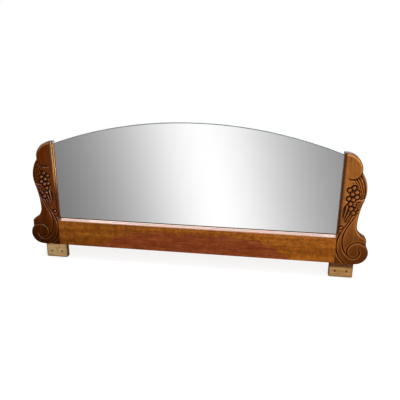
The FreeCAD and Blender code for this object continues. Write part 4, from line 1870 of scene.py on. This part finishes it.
@dataclass(frozen=True)
class BottomRail:
    """Plank between the cheeks with a ledge before the glass and a stepped rebate behind it."""

    sizes: FrameSizes
    finish: StainedWood
    ledge: StainedWood
    arris: float = 3 * MM
    under_arris: float = 2 * MM
    back_arris: float = 0.8 * MM
    glass_arris: float = 1.0 * MM
    ledge_skin: float = 1.5 * MM
    end_ease: float = 0.6 * MM

    def profile(self, ease: float) -> list[Place]:
        """Draws the section of the rail.

        Args:
            ease: How far the outer sides are drawn in.

        Returns:
            Places round the section as Y and Z.
        """
        s = self.sizes
        top = s.rail_height - ease
        corners = [
            ((s.front + ease, ease), self.under_arris),
            ((s.back - ease, ease), self.under_arris),
            ((s.back - ease, top - PANEL_REBATE), self.back_arris),
            ((s.glass_back, top - PANEL_REBATE), 0.0),
            ((s.glass_back, top - GLASS_REBATE), 0.0),
            ((s.glass_front, top - GLASS_REBATE), 0.0),
            ((s.glass_front, top), self.glass_arris),
            ((s.front + ease, top), self.arris),
        ]
        return rounded(corners)

    def build(self) -> bpy.types.Object:
        """Makes the rail and dresses it.

        Returns:
            The finished piece.
        """
        end = self.sizes.inner_x
        stations = [
            (-end, self.end_ease),
            (self.end_ease - end, 0.0),
            (end - self.end_ease, 0.0),
            (end, self.end_ease),
        ]
        loops = [[Vector((x, y, z)) for y, z in self.profile(ease)] for x, ease in stations]
        work = lofted(loops)
        work.normal_update()
        for face in work.faces:
            level = face.calc_center_median().z
            face.material_index = int(level > self.sizes.rail_height - self.ledge_skin)
        mesh = close_mesh("plain_bottom_rail", work)
        piece = new_piece("plain_bottom_rail", mesh, self.finish.build(), self.ledge.build())
        return dress(piece, "stained_wood", "bottom_rail")


@dataclass(frozen=True)
class Arch:
    """Flat plate with a straight foot, straight sides and an arched top."""

    foot: float
    half_width: float
    crown: float
    radius: float
    steps: int = 120

    def outline(self) -> list[Place]:
        """Draws the plate.

        Returns:
            Places round it as X and Z, anticlockwise from the left foot.
        """
        swing = math.asin(self.half_width / self.radius)
        centre = self.crown - self.radius
        turns = np.linspace(swing, -swing, self.steps + 1)
        top = [(self.radius * math.sin(turn), centre + self.radius * math.cos(turn)) for turn in turns]
        return [(-self.half_width, self.foot), (self.half_width, self.foot), *top]


def arch_radius(sizes: FrameSizes) -> float:
    """Radius of the glass's arch over the clear width between the cheeks."""
    return (sizes.inner_x**2 + ARCH_RISE**2) / (2 * ARCH_RISE)


@dataclass(frozen=True)
class MirrorPlate:
    """Silvered plate with a ground and polished edge."""

    sizes: FrameSizes
    finish: SilveredGlass
    edge: float = 3.6 * MM
    edge_fall: float = 1.0 * MM
    crease: float = 10.0

    def build(self) -> bpy.types.Object:
        """Makes the plate and dresses it.

        Returns:
            The finished piece.
        """
        s = self.sizes
        outline = Arch(s.glass_bottom, s.glass_side, s.glass_top, arch_radius(s)).outline()
        narrow = inset(outline, self.edge)
        stations = [
            (narrow, s.glass_front),
            (outline, s.glass_front + self.edge_fall),
            (outline, s.glass_back - self.edge_fall),
            (narrow, s.glass_back),
        ]
        work = lofted([[Vector((x, y, z)) for x, z in places] for places, y in stations])
        mesh = close_mesh("arched_mirror_plate", work, self.crease)
        piece = new_piece("arched_mirror_plate", mesh, *self.finish.build())
        return dress(piece, "mirror_glass", "mirror_glass")


@dataclass(frozen=True)
class BackBoard:
    """Thin board behind the glass, bored for its screws."""

    sizes: FrameSizes
    finish: PanelBoard
    screws: Sequence[Place]
    bore: float = 7.8 * MM
    glass_overhang: float = 8 * MM
    ease: float = 0.6 * MM
    ease_angle: float = 50.0
    ease_steps: int = 2

    def build(self) -> bpy.types.Object:
        """Makes the board and dresses it.

        Returns:
            The finished piece.
        """
        s = self.sizes
        radius = arch_radius(s) - self.glass_overhang
        outline = Arch(s.panel_bottom, s.panel_side, s.panel_top, radius).outline()
        bores = [(place, self.bore) for place in self.screws]
        work = bored_plate(outline, bores, s.glass_back, s.panel_back)
        ease_edges(work, self.ease, self.ease_angle, self.ease_steps)
        mesh = close_mesh("arched_back_board", work)
        return dress(new_piece("arched_back_board", mesh, self.finish.build()), "panel_board", "back_panel")


def bored_plate(
    outline: Sequence[Place],
    bores: Sequence[tuple[Place, float]],
    front: float,
    back: float,
    sides: int = 28,
) -> bmesh.types.BMesh:
    """Makes an upright plate with round holes through it.

    Args:
        outline: Places round the plate as X and Z.
        bores: Middle and diameter of each hole.
        front: Y of the plate's front.
        back: Y of the plate's back.
        sides: Number of faces round a hole.

    Returns:
        The plate's faces.
    """
    turns = [360 * number / sides for number in range(sides)]
    holes = [[reached(middle, turn, diameter / 2) for turn in turns] for middle, diameter in bores]
    work = bmesh.new()
    edges = []
    for loop in (outline, *holes):
        verts = [work.verts.new((x, front, z)) for x, z in loop]
        edges += [work.edges.new((a, b)) for a, b in zip(verts, verts[1:] + verts[:1])]
    bmesh.ops.triangle_fill(work, use_beauty=True, use_dissolve=False, edges=edges)
    moved = bmesh.ops.extrude_face_region(work, geom=list(work.faces), use_keep_orig=True)
    verts = [item for item in moved["geom"] if isinstance(item, bmesh.types.BMVert)]
    bmesh.ops.translate(work, verts=verts, vec=(0, back - front, 0))
    bmesh.ops.recalc_face_normals(work, faces=work.faces)
    return work


@dataclass(frozen=True)
class Tongue:
    """Bare batten behind a cheek, bored for its screws and for the furniture's."""

    side: Side
    finish: RawWood
    edge: RawWood
    screws: Sequence[Place]
    screw_bore: float = 9.8 * MM
    hole_spacing: float = 46 * MM
    hole_diameter: float = 4.5 * MM
    hole_rise: float = 27 * MM
    corner: float = 5 * MM
    ease: float = 1.0 * MM
    ease_angle: float = 50.0
    side_turn: float = 0.6

    def build(self) -> bpy.types.Object:
        """Makes the batten and dresses it.

        Returns:
            The finished piece.
        """
        low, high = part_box(f"{self.side.label}_tongue")
        middle = (low.x + high.x) / 2
        corners = [
            ((low.x, low.z), self.corner),
            ((high.x, low.z), self.corner),
            ((high.x, high.z), 0.0),
            ((low.x, high.z), 0.0),
        ]
        aside, level = self.hole_spacing / 2, low.z + self.hole_rise
        holes = ((middle - aside, level), (middle + aside, level))
        bores = [(place, self.hole_diameter) for place in holes]
        bores += [(place, self.screw_bore) for place in self.screws]
        work = bored_plate(rounded(corners), bores, low.y, high.y)
        ease_edges(work, self.ease, self.ease_angle)
        work.normal_update()
        # Side faces take the edge finish, which is painted shade.
        for face in work.faces:
            face.material_index = int(abs(face.normal.y) < self.side_turn)
        name = f"{self.side.label}_bare_tongue"
        mesh = close_mesh(name, work)
        # Painted shade at the holes and along the rim.
        wood = replace(self.finish, holes=holes, rim=(middle, (high.x - low.x) / 2, low.z))
        piece = new_piece(name, mesh, wood.build(), self.edge.build())
        return dress(piece, "raw_wood", f"{self.side.label}_tongue")


# Stage


@dataclass(frozen=True)
class PhotoCamera:
    """Camera at the photograph's place and angle."""

    place: Spot = (0.2994, -1.8086, 0.8391)
    pitch: float = 18.408
    yaw: float = 8.427
    roll: float = 0.351
    lens: float = 42.85
    sensor: float = 36.0

    def build(self) -> None:
        """Adds the camera and makes it the scene's own."""
        data = bpy.data.cameras.new("photo_camera")
        data.lens = self.lens
        data.sensor_width = self.sensor
        data.sensor_fit = "HORIZONTAL"
        camera = bpy.data.objects.new("photo_camera", data)
        camera.matrix_world = (
            Matrix.Translation(self.place)
            @ Matrix.Rotation(math.radians(self.yaw), 4, "Z")
            @ Matrix.Rotation(math.radians(90 - self.pitch), 4, "X")
            @ Matrix.Rotation(math.radians(self.roll), 4, "Z")
        )
        bpy.context.scene.collection.objects.link(camera)
        bpy.context.scene.camera = camera


@dataclass(frozen=True)
class PaleFloor:
    """White floor that fades into the background and keeps the object's shadow."""

    height: float
    half_size: float = 6.0
    near: float = 0.9
    far: float = 1.8
    matt: Colour = (0.8, 0.8, 0.8)
    shade: Colour = (0.4, 0.4, 0.4)
    glow: float = 0.72

    def build(self) -> None:
        """Adds the floor to the stage."""
        reach = self.half_size
        mesh = bpy.data.meshes.new("pale_floor")
        corners = [(-reach, -reach), (reach, -reach), (reach, reach), (-reach, reach)]
        mesh.from_pydata([(x, y, self.height) for x, y in corners], [], [(0, 1, 2, 3)])
        floor = new_piece("pale_floor", mesh, self.paper())
        floor.visible_glossy = False
        floor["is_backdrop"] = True

    def paper(self) -> Material:
        """Makes the floor's finish.

        Returns:
            The finish, which glows towards the camera and is matt for all other light.
        """
        material = bpy.data.materials.new("pale_paper")
        material.use_nodes = True
        material.node_tree.nodes.clear()
        graph = Graph(material.node_tree)
        away = graph.add("ShaderNodeVectorMath", {0: graph.place()}, operation="LENGTH").outputs["Value"]
        edge = graph.band(away, self.near, self.far)
        matt = graph.add("ShaderNodeBsdfDiffuse", {"Color": opaque(self.matt)}).outputs[0]
        shade = graph.add("ShaderNodeBsdfDiffuse", {"Color": opaque(self.shade)}).outputs[0]
        glow = graph.add("ShaderNodeEmission", {"Strength": self.glow}).outputs[0]
        white = graph.add("ShaderNodeEmission", {"Strength": 1.0}).outputs[0]
        seen = graph.add("ShaderNodeAddShader", {0: shade, 1: glow}).outputs[0]
        seen = graph.add("ShaderNodeMixShader", {0: edge, 1: seen, 2: white}).outputs[0]
        ray = graph.add("ShaderNodeLightPath").outputs["Is Camera Ray"]
        mixed = graph.add("ShaderNodeMixShader", {0: ray, 1: matt, 2: seen}).outputs[0]
        graph.add("ShaderNodeOutputMaterial", {"Surface": mixed})
        return material


@dataclass(frozen=True)
class Lamp:
    """Soft lamp with its place, its target, its width and height, its brightness and its tint."""

    name: str
    place: Spot
    target: Spot
    size: Span
    radiance: float
    tint: Colour

    def build(self) -> None:
        """Adds the lamp."""
        width, height = self.size
        data = bpy.data.lights.new(self.name, "AREA")
        data.shape = "RECTANGLE"
        data.size = width
        data.size_y = height
        data.energy = self.radiance * math.pi * width * height
        data.color = self.tint
        lamp = bpy.data.objects.new(self.name, data)
        lamp.location = self.place
        lamp.rotation_euler = (Vector(self.target) - Vector(self.place)).to_track_quat("-Z", "Y").to_euler()
        bpy.context.scene.collection.objects.link(lamp)


@dataclass(frozen=True)
class StudioLight:
    """Soft lamps and a pale room that is lightest behind the camera.

    The room is laid out by direction: aside is X and slope is Z, each as a share of the way to the front.
    """

    lamps: tuple[Lamp, ...] = (
        Lamp("key_softbox", (1.5, -2.3, 2.1), (0.0, 0.0, 0.2), (1.8, 1.4), 3.6, (1.0, 0.97, 0.94)),
        Lamp("front_softbox", (-0.3, -3.2, 1.25), (0.0, 0.0, 0.25), (2.8, 0.8), 2.2, (1.0, 0.93, 0.92)),
        Lamp("top_softbox", (0.0, -0.7, 2.2), (0.0, 0.0, 0.2), (2.4, 0.7), 7.0, (0.95, 0.97, 1.0)),
        Lamp("back_softbox", (0.5, 2.8, 1.1), (0.0, 0.0, 0.25), (2.6, 1.0), 2.6, (1.0, 0.98, 0.95)),
    )
    ambient: float = 0.4
    least_ahead: float = 0.05
    glow: float = 1.07
    glow_least: float = 0.22
    glow_peak: float = -0.181
    glow_slant: float = 0.21
    glow_spread: float = 0.19
    glass_left: float = -0.4835
    glass_right: float = 0.1535
    glass_fade: float = 0.03
    glass_low: float = -0.3978
    glass_line: float = 0.0004
    gloom: Colour = (0.07, 0.042, 0.014)
    floor: Colour = (0.36, 0.35, 0.34)
    floor_slope: float = -0.75
    wall: Colour = (1.25, 1.07, 1.05)
    wall_rise: Span = (0.02, 0.2)
    wall_level: float = 0.95
    wall_left: Span = (-0.3, -0.46)
    wall_left_gain: float = 1.15
    wall_right: Span = (0.02, 0.16)
    wall_right_gain: float = -0.32
    ceiling: Colour = (0.9, 1.0, 1.15)
    ceiling_rise: Span = (0.5, 1.2)
    window: Colour = (11.0, 9.2, 7.0)
    window_left: Span = (0.55, 0.61)
    window_right: Span = (1.65, 1.55)
    window_top: Span = (0.5, 0.3)
    window_foot: Span = (-0.36, -0.22)

    def build(self) -> None:
        """Sets the world and adds the lamps."""
        self.room()
        for lamp in self.lamps:
            lamp.build()

    def bright_spot(self, graph: Graph, parts: dict[str, Socket], ahead: Socket) -> Socket:
        """Brightness of the far wall, which is lightest along a slanted line.

        Args:
            graph: Graph of the world.
            parts: X, Y and Z of the direction.
            ahead: Way to the front.

        Returns:
            The brightness's socket.
        """
        slanted = graph.math("MULTIPLY_ADD", parts["Z"], self.glow_slant, parts["X"])
        turn = graph.math("SUBTRACT", graph.math("DIVIDE", slanted, ahead), self.glow_peak)
        part = graph.math("DIVIDE", turn, self.glow_spread)
        bell = graph.math("DIVIDE", self.glow, graph.math("MULTIPLY_ADD", part, part, 1.0))
        return graph.math("MAXIMUM", bell, self.glow_least)

    def room(self) -> None:
        """Gives the world a white background, an even light and a shaded room for reflections."""
        world = bpy.data.worlds.new("pale_room")
        bpy.context.scene.world = world
        world.use_nodes = True
        world.node_tree.nodes.clear()
        graph = Graph(world.node_tree)
        rays = graph.add("ShaderNodeLightPath").outputs
        parts = graph.parts(graph.add("ShaderNodeTexCoord").outputs["Generated"])
        ahead = graph.math("MAXIMUM", graph.math("MULTIPLY", parts["Y"], -1.0), self.least_ahead)
        aside = graph.math("DIVIDE", parts["X"], ahead)
        slope = graph.math("DIVIDE", parts["Z"], ahead)
        clear = rays["Is Singular Ray"]
        left = graph.band(aside, self.glass_left - self.glass_fade, self.glass_left)
        right = graph.band(aside, self.glass_right + self.glass_fade, self.glass_right)
        inside = graph.math("MAXIMUM", graph.math("MULTIPLY", left, right), clear)
        over = graph.band(slope, self.glass_low - self.glass_line, self.glass_low + self.glass_line)
        lit = graph.math("MULTIPLY", graph.band(slope, self.glass_low, self.floor_slope), clear)
        below = graph.mix(lit, self.gloom, self.floor)
        above = self.bright_spot(graph, parts, ahead)
        colour = graph.mix(graph.math("MULTIPLY", inside, over), below, above)
        left = graph.band(aside, *self.wall_left)
        right = graph.band(aside, *self.wall_right)
        level = graph.math("MULTIPLY_ADD", left, self.wall_left_gain, self.wall_level)
        level = graph.math("MULTIPLY_ADD", right, self.wall_right_gain, level)
        wall = graph.mix(1.0, self.wall, level, "MULTIPLY")
        colour = graph.mix(graph.band(slope, *self.wall_rise), colour, wall)
        colour = graph.mix(graph.band(slope, *self.ceiling_rise), colour, self.ceiling)
        pane = graph.band(aside, *self.window_left)
        for value, span in ((aside, self.window_right), (slope, self.window_top), (slope, self.window_foot)):
            pane = graph.math("MULTIPLY", pane, graph.band(value, *span))
        colour = graph.mix(pane, colour, self.window)
        mirrored = graph.add("ShaderNodeBackground", {"Color": colour, "Strength": 1.0}).outputs[0]
        even = graph.add("ShaderNodeBackground", {"Color": WHITE, "Strength": self.ambient}).outputs[0]
        plain = graph.add("ShaderNodeBackground", {"Color": WHITE, "Strength": 1.0}).outputs[0]
        back = graph.add("ShaderNodeMixShader", {0: rays["Is Glossy Ray"], 1: even, 2: mirrored}).outputs[0]
        seen = graph.add("ShaderNodeMixShader", {0: rays["Is Camera Ray"], 1: back, 2: plain}).outputs[0]
        graph.add("ShaderNodeOutputWorld", {"Surface": seen})


def finish_hidden_nodes(finish: Material, names: Sequence[str]) -> None:
    """Gives CAD nodes that stay as they are their finish.

    Args:
        finish: The finish.
        names: Names of the nodes.
    """
    for name in names:
        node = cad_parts[name]
        node.data.materials.clear()
        node.data.materials.append(finish)
        LOG.info("%s keeps its CAD shape", name)


# Woods and screws of this mirror

# Hollow colours are staining and painted shade, ridge colours rubbed wood and painted light.
CHEEK_WOOD = {
    Side.RIGHT: StainedWood(
        "right_cheek_wood",
        Grain.UPRIGHT,
        srgb(116, 66, 25),
        srgb(141, 86, 36),
        srgb(164, 106, 50),
        hollow=srgb(46, 19, 11),
        ridge=srgb(182, 104, 36),
        coat=0.28,
        foot_tone=srgb(77, 35, 5),
        foot_shade=0.95,
        foot_top=290 * MM,
    ),
    Side.LEFT: StainedWood(
        "left_cheek_wood",
        Grain.UPRIGHT,
        srgb(76, 28, 0),
        srgb(92, 39, 1),
        srgb(112, 54, 4),
        hollow=srgb(40, 13, 3),
        ridge=srgb(146, 80, 18),
        coat=0.88,
        coat_roughness=0.03,
        hollow_coat=0.0,
        foot_tone=srgb(40, 14, 0),
        foot_shade=0.9,
        foot_top=215 * MM,
        foot_coat=0.4,
    ),
}
# Shares of painted shade, painted light, painted highlights and rubbed wood on each cheek.
CHEEK_WEAR_AND_LIGHT = {
    Side.RIGHT: EdgeWearAndPaintedLight(
        arris_painted_shade=0.8,
        arris_painted_highlight=0.0,
        rim_painted_highlight=1.0,
        wall_painted_shade=0.7,
        wall_painted_light=0.0,
        grape_rub_and_light=0.45,
        crest=0.3,
        lobe_light=0.14,
        ridge_rub_and_highlight=0.5,
    ),
    Side.LEFT: EdgeWearAndPaintedLight(
        arris_painted_shade=0.2,
        arris_painted_highlight=0.9,
        rim_painted_highlight=0.1,
        wall_painted_shade=0.72,
        wall_painted_light=1.0,
        grape_rub_and_light=0.45,
        crest=0.2,
        lobe_light=0.05,
        ridge_rub_and_highlight=0.25,
    ),
}
# Fourth colour: darker band above the line, staining and painted shadow under the rail.
TONGUE_WOOD = {
    Side.RIGHT: RawWood(
        "right_tongue_wood", srgb(214, 168, 106), srgb(138, 92, 46), srgb(90, 52, 22), -32 * MM
    ),
    Side.LEFT: RawWood(
        "left_tongue_wood", srgb(216, 182, 130), srgb(148, 112, 68), srgb(112, 78, 46), -8 * MM
    ),
}
NO_DARK_BAND = 1.0
# Side faces of the tongues: painted shade.
SHADED_SAWN_EDGE = RawWood("shaded_sawn_edge", srgb(104, 76, 44), srgb(58, 38, 20), srgb(58, 38, 20), NO_DARK_BAND)
SLIP_WOOD = RawWood("slip_wood", srgb(206, 174, 128), srgb(176, 142, 96), srgb(176, 142, 96), NO_DARK_BAND)
RAIL_WOOD = FadedRailWood(
    "rail_wood",
    Grain.ALONG_RAIL,
    srgb(104, 53, 11),
    srgb(131, 73, 18),
    srgb(156, 96, 30),
    coat=0.05,
    mottle=0.38,
    blotches=Noise(80.0, 6.0, 0.7),
)
LEDGE_WOOD = StainedWood(
    "ledge_wood",
    Grain.ALONG_RAIL,
    srgb(116, 62, 18),
    srgb(126, 70, 20),
    srgb(136, 78, 25),
    specular=0.5,
    coat=1.0,
    mottle=0.04,
)
TONGUE_SCREWS = ((-25 * MM, 45 * MM), (25 * MM, 45 * MM), (25 * MM, 98 * MM))
SIDE_SCREWS = ((596 * MM, 155 * MM), (596 * MM, 275.5 * MM), (596 * MM, 396 * MM))
RAIL_SCREW_LEVEL = 92 * MM
RAIL_SCREW_REACHES = (-480 * MM, -240 * MM, 0.0, 240 * MM, 480 * MM)


def main() -> None:
    """Builds the pieces, dresses them and sets the stage."""
    logging.basicConfig(level=logging.INFO, format="%(name)s: %(message)s")
    cad_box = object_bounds()
    sizes = FrameSizes.measure()
    steel = ScrewSteel().build()
    slips = SLIP_WOOD.build()
    panel_places = []
    for side in Side:
        CarvedCheek(side, sizes, CHEEK_WOOD[side], CHEEK_WEAR_AND_LIGHT[side]).build()
        low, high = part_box(f"{side.label}_tongue")
        tongue_places = [((low.x + high.x) / 2 + side.value * x, z) for x, z in TONGUE_SCREWS]
        Tongue(side, TONGUE_WOOD[side], SHADED_SAWN_EDGE, tongue_places).build()
        ScrewSet(f"{side.label}_tongue_screws", tongue_places, ScrewSize.LONG).build(steel)
        side_places = [(side.value * x, z) for x, z in SIDE_SCREWS]
        ScrewSet(f"{side.label}_panel_screws", side_places, ScrewSize.SHORT).build(steel)
        panel_places += side_places
    rail_places = [(x, RAIL_SCREW_LEVEL) for x in RAIL_SCREW_REACHES]
    ScrewSet("rail_panel_screws", rail_places, ScrewSize.SHORT).build(steel)
    BackBoard(sizes, PanelBoard(), panel_places + rail_places).build()
    BottomRail(sizes, RAIL_WOOD, LEDGE_WOOD).build()
    MirrorPlate(sizes, SilveredGlass()).build()
    hidden = [f"{side.label}_{kind}" for side in Side for kind in ("rail_dowels", "side_wedges")]
    finish_hidden_nodes(slips, [*hidden, "setting_blocks"])
    PhotoCamera().build()
    PaleFloor(cad_box[0].z).build()
    StudioLight().build()
    bpy.context.scene.view_settings.view_transform = "Standard"
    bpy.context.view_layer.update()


if __name__ == "__main__":
    main()
